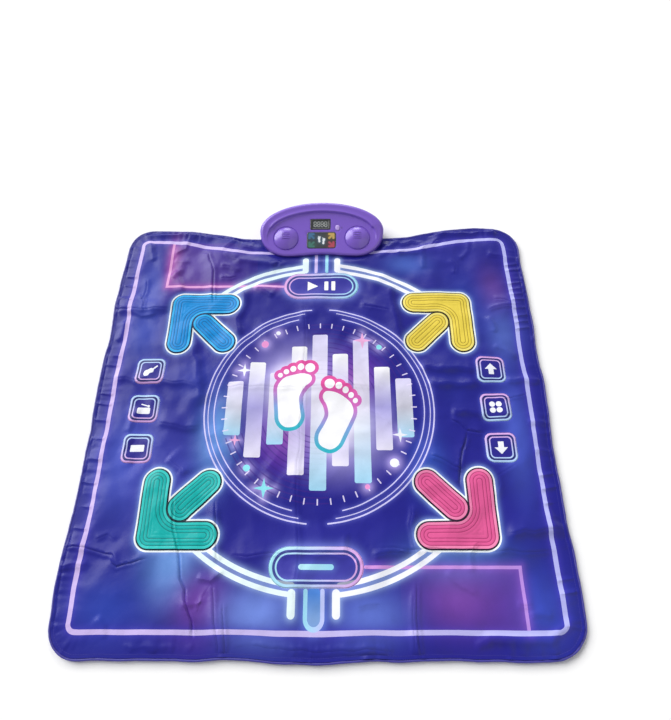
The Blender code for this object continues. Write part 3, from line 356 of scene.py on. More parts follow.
def grown(loop: Points, distance: float | np.ndarray) -> Points:
    """A counter-clockwise outline moved out by one distance or one for each point, or in where it is negative."""
    return loop + normals(loop, True) * np.reshape(distance, (-1, 1))


def spaced(line: Points, step: float, closed: bool = True) -> Points:
    """Add points to a line, so that no two are further apart than a step.

    Args:
        line: the line's points.
        step: the step.
        closed: whether it comes back to its start.

    Returns:
        All points in order.
    """
    ends = np.roll(line, -1, axis=0) if closed else line[1:]
    parts = []
    for first, last in zip(line, ends):
        count = max(1, ceil(norm(last - first) / step))
        parts.append(first + (last - first) * (np.arange(count) / count)[:, None])
    return np.vstack(parts if closed else [*parts, line[-1:]])


def stroke(line: Points | Sequence[Place], width: float) -> Points:
    """Draw a line with a round pen.

    Args:
        line: the line's points.
        width: the pen's width.

    Returns:
        The outline.
    """
    line = np.asarray(line, float)
    side = normals(line, False) * width / 2
    start, end = (degrees(atan2(run[1], run[0])) for run in (line[1] - line[0], line[-1] - line[-2]))
    return np.vstack(((line + side)[:-1], arc(tuple(line[-1]), width / 2, end - 90, end + 90),
                      (line - side)[::-1][1:-1], arc(tuple(line[0]), width / 2, start + 90, start + 270)[:-1]))


def smooth_loop(points: Sequence[Place], steps: int = 8) -> Points:
    """Draw a closed curve through some points.

    Args:
        points: the points.
        steps: how many pieces each stretch gets.

    Returns:
        The outline.
    """
    given = np.array(points, float)
    before, after, far = (np.roll(given, shift, axis=0) for shift in (1, -1, -2))
    parts = [0.5 * (2 * given + (after - before) * share + (2 * before - 5 * given + 4 * after - far) * share ** 2
                    + (3 * given - before - 3 * after + far) * share ** 3) for share in np.arange(steps) / steps]
    return np.stack(parts, axis=1).reshape(-1, 2)


def area(loop: Points) -> float:
    """Area inside a loop."""
    x, y = loop.T
    return abs(float((x * np.roll(y, -1) - y * np.roll(x, -1)).sum())) / 2


def spin(lean: float) -> np.ndarray:
    """What turns points by an angle in radians."""
    return np.array(((cos(lean), sin(lean)), (-sin(lean), cos(lean))))


def moved(points: Points, place: Place, turn: float = 0.0) -> Points:
    """Points turned by some degrees about the origin and moved to a place."""
    return points @ spin(radians(turn)) + np.array(place)


def smoothstep(low: float, high: float, value: np.ndarray) -> np.ndarray:
    """0 below low, 1 above high, and a smooth rise between."""
    share = np.clip((value - low) / (high - low), 0.0, 1.0)
    return share * share * (3 - 2 * share)


def follow(points: Points, line: Points, closed: bool = True) -> tuple[np.ndarray, np.ndarray, Points]:
    """Find the nearest place on a line.

    Args:
        points: the points to look from.
        line: the line's points.
        closed: whether it comes back to its start.

    Returns:
        For each point its distance, how far along the line the nearest place is, and the line's right-hand normal.
    """
    start = line if closed else line[:-1]
    step = (np.roll(line, -1, axis=0) if closed else line[1:]) - start
    length = np.maximum(norm(step, axis=1), 1e-9)
    run = np.concatenate(((0.0,), np.cumsum(length)[:-1]))
    across = np.column_stack((step[:, 1], -step[:, 0])) / length[:, None]
    found = [np.empty(len(points)), np.empty(len(points)), np.empty((len(points), 2))]
    block = max(1, 2_000_000 // len(start))
    for low in range(0, len(points), block):
        part = points[low:low + block, None, :] - start[None]
        share = np.clip((part * step).sum(axis=2) / length ** 2, 0, 1)
        gap = norm(part - share[:, :, None] * step, axis=2)
        best = gap.argmin(axis=1)
        row = np.arange(len(best))
        found[0][low:low + block] = gap[row, best]
        found[1][low:low + block] = run[best] + share[row, best] * length[best]
        found[2][low:low + block] = across[best]
    return found[0], found[1], found[2]


def inside(points: Points, loops: Iterable[Points]) -> np.ndarray:
    """Tell which points lie inside.

    Args:
        points: the points.
        loops: outlines and holes in them.

    Returns:
        Whether each point lies inside an odd number of the loops.
    """
    order = np.argsort(points[:, 1])
    x, y = points[order].T
    hit = np.zeros(len(points), bool)
    for loop in loops:
        for (x0, y0), (x1, y1) in zip(loop, np.roll(loop, -1, axis=0)):
            low, high = np.searchsorted(y, (min(y0, y1), max(y0, y1)))
            if high > low:
                hit[low:high] ^= x[low:high] < x0 + (y[low:high] - y0) * (x1 - x0) / (y1 - y0)
    result = np.empty_like(hit)
    result[order] = hit
    return result


def near(points: Points, marks: Points, reach: float) -> np.ndarray:
    """Tell which points lie close to some marks, on a coarse grid.

    Args:
        points: the points.
        marks: the marks.
        reach: the distance, about.

    Returns:
        Whether each point is close.
    """
    cell = reach / 3
    low = marks.min(axis=0) - 2 * reach
    field_size = ((marks.max(axis=0) + 2 * reach - low) / cell).astype(int) + 2
    taken = np.zeros(field_size, bool)
    index = ((marks - low) / cell).astype(int)
    taken[index[:, 0], index[:, 1]] = True
    for _ in range(3):
        wider = taken.copy()
        for this, next_to in ((wider, taken), (wider.T, taken.T)):
            this[1:] |= next_to[:-1]
            this[:-1] |= next_to[1:]
        taken = wider
    index = ((points - low) / cell).astype(int)
    known = ((index >= 0) & (index < field_size)).all(axis=1)
    result = np.zeros(len(points), bool)
    result[known] = taken[index[known, 0], index[known, 1]]
    return result


# Ink

@dataclass(frozen=True)
class Ink:
    """What a shape is printed with: one colour, or colours that fade along a line or out from a point."""

    colours: tuple[str, ...]
    cover: tuple[float, ...] = (1.0,)
    start: Place = (0.0, 0.0)
    end: Place = (1.0, 0.0)
    radial: bool = False

    def at(self, points: Points) -> tuple[np.ndarray, np.ndarray]:
        """Read the ink.

        Args:
            points: where.

        Returns:
            Its colour and how well it covers what lies under it, at each point.
        """
        line = np.array(self.end) - self.start
        away = points - self.start
        span = norm(line)
        share = norm(away, axis=1) / span if self.radial else (away @ line) / span ** 2
        stops = np.array([linear(colour) for colour in self.colours])
        places = np.linspace(0, 1, len(stops))
        colour = np.column_stack([np.interp(share, places, stops[:, k]) for k in range(3)])
        return colour, np.interp(share, np.linspace(0, 1, len(self.cover)), self.cover)


@dataclass(frozen=True)
class Glow:
    """Light printed round a shape."""

    colour: str
    reach: float
    strength: float


@dataclass(frozen=True)
class Printed:
    """One printed shape with its ink and the glow round it."""

    loops: tuple[Points, ...]
    ink: Ink
    glow: Glow | None = None

    def box(self) -> tuple[Points, Points]:
        """The lowest and highest corner of the shape."""
        points = np.vstack(self.loops)
        return points.min(axis=0), points.max(axis=0)


@dataclass(frozen=True)
class Cloud:
    """A soft patch of another colour in the background."""

    place: Place
    radii: Place
    colour: str
    strength: float


@dataclass
class Artwork:
    """A background with soft clouds and the shapes printed over it."""

    ground: str
    clouds: tuple[Cloud, ...] = ()
    shapes: list[Printed] = field(default_factory=list)

    def add(self, loops: Points | Sequence[Points], ink: Ink | str, glow: Glow | None = None,
            step: float = 4.0) -> None:
        """Print one shape over what is there.

        Args:
            loops: its outline, or its outer and inner outlines.
            ink: the ink, or the hex colour of a plain one.
            glow: the light round it.
            step: most distance between two points of its outline.
        """
        loops = [loops] if isinstance(loops, np.ndarray) else loops
        ink = Ink((ink,)) if isinstance(ink, str) else ink
        self.shapes.append(Printed(tuple(spaced(loop, step) for loop in loops), ink, glow))

    def background(self, points: Points) -> np.ndarray:
        """Colour the bare print.

        Args:
            points: where.

        Returns:
            A linear colour at each point.
        """
        colour = np.tile(linear(self.ground), (len(points), 1))
        for cloud in self.clouds:
            away = (points - cloud.place) / cloud.radii
            share = cloud.strength * np.exp(-(away ** 2).sum(axis=1))[:, None]
            colour = colour + (linear(cloud.colour) - colour) * share
        return colour

    def touching(self, low: Points, high: Points, margin: float = 0.0) -> list[Printed]:
        """The shapes that reach into a box."""
        return [shape for shape in self.shapes if any(
            ((loop >= low - margin) & (loop <= high + margin)).all(axis=1).any() for loop in shape.loops)]

    def corners(self, points: Points, triangles: np.ndarray) -> np.ndarray:
        """Colour every corner of some triangles.

        Args:
            points: the mesh's points from above.
            triangles: three point numbers each.

        Returns:
            Three colours for each triangle. Two triangles on either side of an outline keep their own.
        """
        low, high = points.min(axis=0), points.max(axis=0)
        colour = self.background(points)
        for shape in self.shapes:
            if shape.glow is None:
                continue
            close = near(points, np.vstack([spaced(loop, shape.glow.reach) for loop in shape.loops]),
                         3 * shape.glow.reach)
            if close.any():
                away = np.min([follow(points[close], loop)[0] for loop in shape.loops], axis=0)
                share = shape.glow.strength * np.exp(-(away / shape.glow.reach) ** 1.4)[:, None]
                colour[close] += (linear(shape.glow.colour) - colour[close]) * share
        corners = colour[triangles]
        middles = points[triangles].mean(axis=1)
        for shape in self.touching(low, high):
            first, last = shape.box()
            close = np.flatnonzero(((middles > first) & (middles < last)).all(axis=1))
            close = close[inside(middles[close], shape.loops)]
            if len(close):
                ink, cover = shape.ink.at(points[triangles[close]].reshape(-1, 2))
                ink, cover = ink.reshape(-1, 3, 3), cover.reshape(-1, 3, 1)
                corners[close] += (ink - corners[close]) * cover
        return corners


# Meshes

def stood(points: np.ndarray, stand: Matrix) -> np.ndarray:
    """Points turned from some frame to the object's."""
    return np.asarray(points) @ np.array(stand.to_3x3()).T + np.array(stand.translation)


def shown(name: str, data: ID) -> Object:
    """Put a new object in the scene.

    Args:
        name: its name.
        data: its mesh, lamp or camera.

    Returns:
        The object.
    """
    made = bpy.data.objects.new(name, data)
    bpy.context.scene.collection.objects.link(made)
    return made


def wired(name: str, points: np.ndarray, edges: Sequence = ()) -> Object:
    """Make an object of bare points.

    Args:
        name: its name.
        points: the points, in millimetres.
        edges: pairs of their numbers.

    Returns:
        The object.
    """
    mesh = bpy.data.meshes.new(name)
    mesh.from_pydata((np.asarray(points) * MM).tolist(), edges, [])
    return shown(name, mesh)


def piece(name: str, points: np.ndarray, faces: Sequence[Sequence[int]], finish: Finish,
          colours: np.ndarray | None = None, stand: Matrix | None = None,
          creased: np.ndarray | None = None) -> Object:
    """Make an object from points in millimetres.

    Args:
        name: the object's name.
        points: its points.
        faces: point numbers of each face, counter-clockwise from outside.
        finish: its surface.
        colours: a colour for each face corner in turn.
        stand: the frame that the points are given in, if not the object's.
        creased: tells the points that lie on a crease, whose edges are sharp.

    Returns:
        The object, in the scene.
    """
    if stand is not None:
        points = stood(points, stand)
    mesh = bpy.data.meshes.new(name)
    mesh.from_pydata((np.asarray(points) * MM).tolist(), [], [list(map(int, face)) for face in faces])
    if colours is not None:
        layer = mesh.color_attributes.new(finish.printed, "FLOAT_COLOR", "CORNER")
        layer.data.foreach_set("color", np.column_stack((colours, np.ones(len(colours)))).ravel())
    mesh.materials.append(finish.material())
    mesh.shade_smooth()
    mesh.set_sharp_from_angle(angle=SHARP_ANGLE)
    if creased is not None:
        ends = np.empty(2 * len(mesh.edges), int)
        mesh.edges.foreach_get("vertices", ends)
        marks = mesh.attributes.get("sharp_edge") or mesh.attributes.new("sharp_edge", "BOOLEAN", "EDGE")
        values = np.empty(len(mesh.edges), bool)
        marks.data.foreach_get("value", values)
        marks.data.foreach_set("value", values | creased[ends.reshape(-1, 2)].all(axis=1))
    return shown(name, mesh)


def ring_faces(count: int, rows: int) -> list[tuple[int, ...]]:
    """The faces between rings of equally many points."""
    return [(row * count + k, row * count + (k + 1) % count, (row + 1) * count + (k + 1) % count,
             (row + 1) * count + k) for row in range(rows - 1) for k in range(count)]


def lofted(name: str, rings: Sequence[np.ndarray], finish: Finish, stand: Matrix | None = None) -> Object:
    """Make a closed object from rings of equally many points, the lowest or outermost first.

    Args:
        name: the object's name.
        rings: the rings, in millimetres.
        finish: its surface.
        stand: the frame that the rings are given in, if not the object's.

    Returns:
        The object.
    """
    count, last = len(rings[0]), (len(rings) - 1) * len(rings[0])
    ends = [tuple(range(count - 1, -1, -1)), tuple(range(last, last + count))]
    return piece(name, np.vstack(rings), [*ring_faces(count, len(rings)), *ends], finish, stand=stand)


def level_ring(place: Place, radius: float, level: float, reach: float = 0.0) -> np.ndarray:
    """Draw a level circle, or an upright oval where its halves are moved apart.

    Args:
        place: its middle.
        radius: its radius.
        level: its height.
        reach: how far each half is moved.

    Returns:
        The ring.
    """
    turns = np.linspace(0, 2 * pi, RING_POINTS, endpoint=False)
    up = np.where(np.abs(np.sin(turns)) < 1e-6, 0, np.sign(np.sin(turns)))
    return np.column_stack((place[0] + radius * np.cos(turns), place[1] + radius * np.sin(turns) + reach * up,
                            np.full(RING_POINTS, level)))


@contextmanager
def edited(thing: Object) -> Iterator[bmesh.types.BMesh]:
    """Open an object's mesh for changes, and write them back.

    Args:
        thing: the object.

    Returns:
        The open mesh.
    """
    body = bmesh.new()
    body.from_mesh(thing.data)
    yield body
    body.to_mesh(thing.data)
    body.free()


def add_post(body: bmesh.types.BMesh, sides: int, radius: float, height: float, stand: Matrix,
             middle: tuple[float, float, float]) -> None:
    """Add an upright post.

    Args:
        body: the mesh that gets it, in metres.
        sides: its number of sides.
        radius: its radius, in millimetres.
        height: its height.
        stand: the frame that it stands in, in metres.
        middle: its middle in that frame, in millimetres.
    """
    bmesh.ops.create_cone(body, cap_ends=True, segments=sides, radius1=radius * MM, radius2=radius * MM,
                          depth=height * MM, matrix=stand @ Matrix.Translation([size * MM for size in middle]))


def flatten(thing: Object) -> None:
    """Turn an object with its modifiers to a plain mesh, and take the modifiers off.

    Args:
        thing: the object.
    """
    bpy.context.view_layer.update()
    mesh = bpy.data.meshes.new_from_object(thing.evaluated_get(bpy.context.evaluated_depsgraph_get()))
    thing.modifiers.clear()
    thing.data = mesh


def settled(made: Object, body: str, slot: str, *nodes: str) -> None:
    """Hand a finished piece to the frame and log it.

    Args:
        made: the piece.
        body: the body that it rides on.
        slot: the name of its material slot; not used.
        nodes: the CAD nodes that it stands for.
    """
    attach(made, body)
    if nodes:
        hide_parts(*nodes)
    made.data.calc_loop_triangles()
    LOG.info("%s: %d triangles", made.name, len(made.data.loop_triangles))


def delaunay(given: Points, edges: Sequence, closest: float) -> tuple[Points, np.ndarray, np.ndarray, list]:
    """Cut an area into triangles.

    Args:
        given: points.
        edges: pairs of their numbers, which stay edges.
        closest: two points that are closer become one.

    Returns:
        The points, the triangles, counter-clockwise, twice the area of each, and the given points behind each point.
    """
    found = delaunay_2d_cdt([Vector(point) for point in given.tolist()], edges, [], 0, closest)
    points = np.array([tuple(point) for point in found[0]])
    triangles = np.array([face for face in found[2] if len(face) == 3])
    a, b, c = (points[triangles[:, k]] for k in range(3))
    double = (b[:, 0] - a[:, 0]) * (c[:, 1] - a[:, 1]) - (b[:, 1] - a[:, 1]) * (c[:, 0] - a[:, 0])
    triangles[double < 0] = triangles[double < 0][:, ::-1]
    return points, triangles, double, found[3]


def triangulate(outline: Points, holes: Sequence[Points], lines: Sequence[Points], grid: Points,
                creases: Sequence[Points] = ()) -> tuple[Points, np.ndarray]:
    """Cut an area into triangles that have every line as an edge.

    Args:
        outline: the area's outline.
        holes: outlines of its holes.
        lines: closed lines that no triangle may cross.
        grid: extra points.
        creases: open lines that no triangle may cross.

    Returns:
        The points and the triangles, counter-clockwise.
    """
    loops = [outline, *holes, *lines]
    edges, start = [], 0
    for loop in loops:
        edges += [(start + k, start + (k + 1) % len(loop)) for k in range(len(loop))]
        start += len(loop)
    for line in creases:
        edges += [(start + k, start + k + 1) for k in range(len(line) - 1)]
        start += len(line)
    points, triangles, double, _ = delaunay(np.vstack([*loops, *creases, grid]), edges, 1e-4)
    middles = points[triangles].mean(axis=1)
    keep = inside(middles, [outline]) & ~inside(middles, holes) & (np.abs(double) > 1e-7)
    used, triangles = np.unique(triangles[keep], return_inverse=True)
    return points[used], triangles.reshape(-1, 3)


def hexagons(low: Points, high: Points, pitch: float) -> Points:
    """Lay a grid of points with equal distances between neighbours.

    Args:
        low: its lowest corner.
        high: its highest corner.
        pitch: the distance.

    Returns:
        The points.
    """
    row = np.arange(low[0], high[0], pitch)
    return np.vstack([np.column_stack((row + pitch / 2 * (k % 2), np.full_like(row, y)))
                      for k, y in enumerate(np.arange(low[1], high[1], pitch * sqrt(0.75)))])


def rim_edges(triangles: np.ndarray) -> np.ndarray:
    """Find the rim of a cut area.

    Args:
        triangles: its triangles.

    Returns:
        The edges that belong to one triangle only, in the direction of that triangle.
    """
    edges = np.vstack((triangles[:, [0, 1]], triangles[:, [1, 2]], triangles[:, [2, 0]]))
    _, index, count = np.unique(np.sort(edges, axis=1), axis=0, return_index=True, return_counts=True)
    return edges[index[count == 1]]


@dataclass
class Plate:
    """A closed flat piece whose top is cut along its print and shaped by a height function."""

    name: str
    finish: Finish
    outline: Points
    top: Callable[[Points], np.ndarray]
    low: float | Callable[[Points], np.ndarray]
    pitch: float
    fine: float = 0.0
    art: Artwork | None = None
    holes: Sequence[Points] = ()
    lines: Sequence[Points] = ()
    creases: Sequence[Points] = ()       # open lines along which the top may be sharp
    reach: float = 9.5                   # of the fine grid round them
    clear: float = 0.45                  # share of the grid's pitch that stays free beside a line
    merge: float = 0.3                   # from a crease to the points that count as on it
    shift: Callable[[Points], Points] | None = None
    # Painted shade: the print on the rim and the underside is darkened to this share of its brightness.
    rim: float = 0.55                    # brightness of the print on the rim and the underside
    stand: Matrix | None = None          # the frame it is drawn in, if not the object's

    def build(self) -> Object:
        """Cut, shape and colour the plate.

        Returns:
            The object.
        """
        low, high = self.outline.min(axis=0), self.outline.max(axis=0)
        shapes = self.art.touching(low, high, 2.0) if self.art else []
        lines = [*(loop for shape in shapes for loop in shape.loops), *self.lines]
        grid = hexagons(low, high, self.pitch)
        if self.fine:
            glowing = [loop for shape in shapes if shape.glow for loop in shape.loops]
            places = np.vstack([*glowing, *self.holes, *self.lines, *self.creases])
            close = hexagons(low, high, self.fine)
            grid = np.vstack((grid[~near(grid, places, self.reach)], close[near(close, places, self.reach)]))
        marks = np.vstack([self.outline, *self.holes, *lines, *self.creases])
        grid = grid[~near(grid, marks, self.clear * (self.fine or self.pitch))]
        return self.close(*triangulate(self.outline, self.holes, lines, grid, self.creases))

    def close(self, points: Points, triangles: np.ndarray) -> Object:
        """Give the cut top its height, a rim and an underside.

        Args:
            points: the cut's points from above.
            triangles: its triangles.

        Returns:
            The object.
        """
        edges, shell = rim_edges(triangles), callable(self.low)
        kept = np.arange(len(points)) if shell else np.unique(edges)
        number = np.full(len(points), -1)
        number[kept] = np.arange(len(kept))
        under = points[kept]
        lower = (triangles if shell else self.underside(under, number[edges]))[:, ::-1] + len(points)
        walls = np.column_stack((edges[:, 0], number[edges] + len(points), edges[:, 1]))
        plan = self.shift(points) if self.shift else points
        solid = np.vstack((np.column_stack((plan, self.top(points))), np.column_stack(
            (plan[kept], self.low(under) if shell else np.full(len(kept), self.low)))))
        colours = None
        if self.art:
            # Painted shade: the rim's walls and the underside get the bare print, darkened by the rim share.
            plain = np.vstack((self.art.background(points), self.art.background(under))) * self.rim
            colours = np.vstack((self.art.corners(points, triangles).reshape(-1, 3), plain[walls.ravel()],
                                 plain[lower.ravel()]))
        creased = None
        if len(self.creases):
            creased = np.zeros(len(solid), bool)
            places = np.vstack([spaced(line, 1.0, False) for line in self.creases])
            creased[:len(points)] = near(points, places, self.merge)
        return piece(self.name, solid, [*triangles.tolist(), *walls.tolist(), *lower.tolist()], self.finish, colours,
                     stand=self.stand, creased=creased)

    def underside(self, rim: Points, edges: np.ndarray) -> np.ndarray:
        """Close the rim's loops by flat triangles that add no points.

        Args:
            rim: the rim's points.
            edges: pairs of their numbers.

        Returns:
            The triangles, counter-clockwise from above.
        """
        points, triangles, _, origins = delaunay(rim, edges.tolist(), 1e-6)
        middles = points[triangles].mean(axis=1)
        keep = inside(middles, [self.outline]) & ~inside(middles, self.holes)
        return np.array([origin[0] for origin in origins])[triangles[keep]]


# The mat

@dataclass(frozen=True)
class MatShape:
    """The mat from above, in millimetres."""

    width: float = 930.0
    depth: float = 930.0
    corner: float = 58.0
    rear_draw: float = 26.0          # how far the control unit draws the rear edge forward
    draw_flat: float = 154.0         # half width of the drawn edge's straight middle

    def drawn(self, x: np.ndarray, depth: float | None = None) -> np.ndarray:
        """Measure how the control unit draws the rear edge, or a line along it, forward.

        Args:
            x: where along the edge.
            depth: how far the line is drawn at most.

        Returns:
            How far it is drawn.
        """
        end = self.width / 2 - self.corner
        along = (np.clip(np.abs(x), self.draw_flat, end) - self.draw_flat) / (end - self.draw_flat)
        return (self.rear_draw if depth is None else depth) * (1 + np.cos(pi * along)) / 2

    def outline(self, inset: float = 0.0, steps: int = 12) -> Points:
        """Draw the mat's outline, counter-clockwise.

        Args:
            inset: how far it is moved inwards.
            steps: points in a corner.

        Returns:
            The outline.
        """
        x, y = self.width / 2 - self.corner, self.depth / 2 - self.corner
        radius = self.corner - inset
        turn = 90 / steps * pi / 180 * radius
        corners = [arc((sx * x, sy * y), radius, start, start + 90, turn)
                   for sx, sy, start in ((-1, -1, 180), (1, -1, 270), (1, 1, 0))]
        run = np.linspace(x, -x, 61)[1:-1]
        rear = np.column_stack((run, self.depth / 2 - inset - self.drawn(run)))
        return np.vstack((*corners, rear, arc((-x, y), radius, 90, 180, turn)))


@dataclass(frozen=True)
class Fold:
    """One crease in the film: a crest that falls steeply on its right and gently on its left, cut by a groove."""

    line: tuple[Place, ...]
    drop: float = 5.0                # height of the crest
    cut: float = 1.1                 # depth of the groove
    steep: float = 14.5              # width of the steep side
    gentle: float = 46.0
    groove: float = 3.0              # half the width of the groove
    kink: float = 2.5                # how far the crease strays from its line
    ends: Place = (0.16, 0.22)       # shares of its length over which it rises and fades

    @lru_cache(maxsize=None)
    def bent(self) -> Points:
        """The crease's own course, which strays from its line in short straight runs.

        Returns:
            Its points.
        """
        line = spaced(np.array(self.line, float), 24.0, False)
        side = normals(line, False)
        stray = self.kink * np.sin(line[:, 0] * 0.37 + line[:, 1] * 0.23 + np.arange(len(line)) * 2.1)
        return spaced(line + side * (stray * np.minimum(np.arange(len(line)), 1))[:, None], 4.5, False)

    def height(self, points: Points) -> np.ndarray:
        """Give the crease its form.

        Args:
            points: where.

        Returns:
            Its height at each point.
        """
        line = self.bent()
        reach = max(self.gentle, self.steep) + self.groove
        low, high = line.min(axis=0) - reach, line.max(axis=0) + reach
        close = ((points > low) & (points < high)).all(axis=1)
        found = np.zeros(len(points))
        if not close.any():
            return found
        away, along, across = follow(points[close], line, closed=False)
        run = np.concatenate(((0.0,), np.cumsum(norm(np.diff(line, axis=0), axis=1))))
        fade = smoothstep(0, self.ends[0] * run[-1], along) * smoothstep(0, self.ends[1] * run[-1], run[-1] - along)
        nearest = np.column_stack([np.interp(along, run, line[:, k]) for k in range(2)])
        right = ((points[close] - nearest) * across).sum(axis=1) > 0
        flank = np.clip(1 - away / np.where(right, self.steep, self.gentle), 0, 1) ** 2
        found[close] = fade * (self.drop * flank - 1.4 * self.cut * np.clip(1 - away / self.groove, 0, 1))
        return found


def small_folds() -> Iterator[Fold]:
    """Short crumples, most of them near the edge, where the film was bent and handled.

    Returns:
        The folds, one by one.
    """
    chance = np.random.default_rng(11)
    for _ in range(44):
        turn = chance.integers(4) * 90
        middle = moved(np.array(((chance.uniform(-430, 430), 446 - abs(chance.normal(0, 90))),)), (0, 0), turn)[0]
        lean = radians(turn + chance.choice((0, 90)) + chance.normal(0, 28))
        length, bend = chance.uniform(24, 80), chance.normal(0, 8)
        ends = np.array(((-length, bend), (0, -bend), (length, bend))) / 2
        line = tuple(map(tuple, ends @ spin(lean) + middle))
        line = line if line[2][0] - line[0][0] + line[2][1] - line[0][1] > 0 else line[::-1]
        yield Fold(line, chance.uniform(1.8, 3.8), chance.uniform(0.5, 1.2), chance.uniform(7, 12),
                   chance.uniform(16, 30), 2.6, 2.0)


# Creases where the mat was folded away, wrinkles that its edge and the control unit pull, and fine kinked lines.
FOLDS = (
    Fold(((-462, 240), (-400, 236), (-330, 237)), 6.3, 1.4, 20.8),
    Fold(((-446, 150), (-436, 182), (-440, 214)), 4.5, 1.1, 11.2, 20.0),
    Fold(((-244, -6), (-256, 70), (-270, 120), (-276, 168)), 5.4, 0.8, 19.2),
    Fold(((-450, 66), (-390, 60), (-330, 56), (-240, 46)), 5.7, 1.2, 19.2),
    Fold(((-243, 250), (-248, 310), (-258, 360), (-272, 394), (-296, 404)), 4.5, 2.7, 11.2, 40.0, 3.7),
    Fold(((-440, 448), (-340, 446), (-236, 434)), 4.8, 0.5, 14.4, 14.0),
    Fold(((-240, 356), (-215, 351), (-192, 336)), 3.9, 1.6, 11.2, 24.0),
    Fold(((-238, 322), (-214, 318), (-196, 328)), 3.0, 1.6, 8.0, 20.0),
    Fold(((-232, 398), (-216, 380), (-200, 372)), 3.6, 1.4, 9.6, 20.0),
    Fold(((-210, 372), (-160, 366), (-96, 362)), 5.7, 1.1, 17.6, 26.0),
    Fold(((-196, 416), (-165, 410), (-128, 408)), 4.5, 1.6, 11.2, 18.0),
    Fold(((-178, 156), (-184, 210), (-170, 262), (-178, 300)), 5.4, 1.1, 16.0, 40.0),
    Fold(((-156, 296), (-130, 284), (-104, 268)), 4.2, 1.1, 12.8),
    Fold(((-332, -36), (-290, -46), (-238, -50)), 4.8, 1.2, 14.4),
    Fold(((-300, -112), (-280, -124), (-258, -150)), 4.5, 1.2, 14.4),
    Fold(((-178, -316), (-184, -260), (-194, -190)), 4.8, 2.4, 12.8, 30.0, 3.5),
    Fold(((-464, -284), (-430, -282), (-404, -292), (-372, -294), (-362, -318)), 5.1, 2.2, 12.8, 34.0),
    Fold(((-378, -300), (-362, -320), (-336, -308), (-306, -304)), 3.0, 2.2, 8.0, 24.0),
    Fold(((-464, -318), (-440, -312), (-412, -316)), 3.9, 1.6, 9.6, 18.0),
    Fold(((-196, -464), (-222, -390), (-248, -318), (-266, -250), (-280, -176)), 2.4, 3, 9.6, 24.0, 3.3),
    Fold(((-164, -464), (-172, -410), (-178, -366), (-194, -336)), 4.8, 2.7, 11.2, 20.0, 3.7),
    Fold(((-152, -462), (-156, -410), (-166, -372)), 3.9, 2.2, 9.6, 16.0),
    Fold(((-206, -396), (-190, -346)), 2.7, 1.4, 6.4, 14.0),
    Fold(((-150, -446), (-100, -442), (0, -446), (110, -448), (168, -456)), 4.8, 2.4, 10.4, 14.0, 3.5, 1.5),
    Fold(((-346, -446), (-270, -448), (-190, -446)), 3.3, 1.1, 11.2, 14.0),
    Fold(((182, -464), (178, -400), (178, -336)), 5.1, 2.7, 9.6, 26.0, 3.7),
    Fold(((169, -460), (167, -400), (171, -350)), 2.4, 1.9, 4.8, 12.0),
    Fold(((262, -452), (300, -432), (400, -433), (436, -412), (456, -390)), 5.4, 1.4, 16.0, 16.0),
    Fold(((346, -258), (400, -254), (464, -250)), 6.3, 1.4, 17.6),
    Fold(((96, -284), (260, -288), (464, -292)), 2.7, 1.2, 11.2, 30.0),
    Fold(((272, -176), (273, -150), (282, -118), (291, -80), (298, -54)), 3.9, 3.2, 10.4, 30.0, 4),
    Fold(((264, -30), (284, -42), (298, -54), (334, -64)), 3.9, 2.7, 9.6, 24.0, 3.5),
    Fold(((218, -108), (245, -120), (264, -133), (284, -136)), 5.1, 2.4, 12.8, 26.0, 3.5),
    Fold(((266, -16), (300, -18), (350, -24)), 5.1, 1.1, 14.4, 30.0),
    Fold(((418, -42), (464, -44)), 3.9, 1.6, 8.0, 16.0),
    Fold(((422, -100), (464, -108)), 3.9, 1.6, 8.0, 16.0),
    Fold(((206, 86), (250, 82), (340, 80)), 6.3, 1.1, 17.6),
    Fold(((222, 54), (250, 44), (340, 46)), 5.4, 1.1, 16.0, 30.0),
    Fold(((388, 54), (464, 54)), 5.1, 1.4, 12.8, 24.0),
    Fold(((262, 440), (340, 444), (440, 456)), 5.1, 0.5, 16.0, 12.0),
    Fold(((236, 396), (262, 412), (290, 430)), 4.5, 1.9, 9.6, 20.0),
    Fold(((122, 408), (160, 412), (190, 428)), 5.4, 1.4, 14.4, 18.0),
    Fold(((184, 414), (215, 424), (244, 414)), 3.6, 1.6, 8.0, 14.0),
    Fold(((176, 388), (208, 396), (240, 388)), 4.2, 1.4, 11.2, 18.0),
    Fold(((184, 150), (168, 200), (163, 250), (156, 304)), 5.4, 1.1, 16.0, 34.0),
    Fold(((86, 246), (130, 234), (156, 226)), 2.6, 1.1, 14.4),
    Fold(((372, 228), (408, 240), (452, 246)), 4.2, 1.6, 9.6, 20.0),
    Fold(((396, -120), (350, -150), (340, -200)), 2.4, 0.9, 12.8, 30.0),
    Fold(((-38, -430), (-34, -290), (-40, -120), (-32, 60), (-38, 330)), 2.4, 0.9, 12.8, 30.0),
    Fold(((-230, 46), (-60, 40), (140, 44)), 2.4, 0.9, 12.8, 30.0),
    Fold(((-170, -300), (-40, -292), (90, -298)), 3.6, 1.2, 14.4, 34.0),
    Fold(((178, -200), (174, -262), (186, -318)), 4.5, 1.4, 11.2, 30.0),
    Fold(((100, -300), (138, -290), (176, -296)), 4.2, 1.6, 9.6, 20.0),
    *(Fold(((424, y), (460, y + 5)), 3.0, 0.9, 4.8, 8.0, 2.2, 0.5)
      for y in (352, 336, 300, 284, 270, 254, 232, 212, 196, 180, -150, -176, -204, -340, -362)),
    *(Fold(((-460, y), (-428, y - 4)), 2.7, 0.8, 4.8, 8.0, 2.2, 0.5)
      for y in (330, 304, 268, 120, 96, 30, 6, -30, -70, -112, -160, -206, -246)),
    *small_folds(),
)


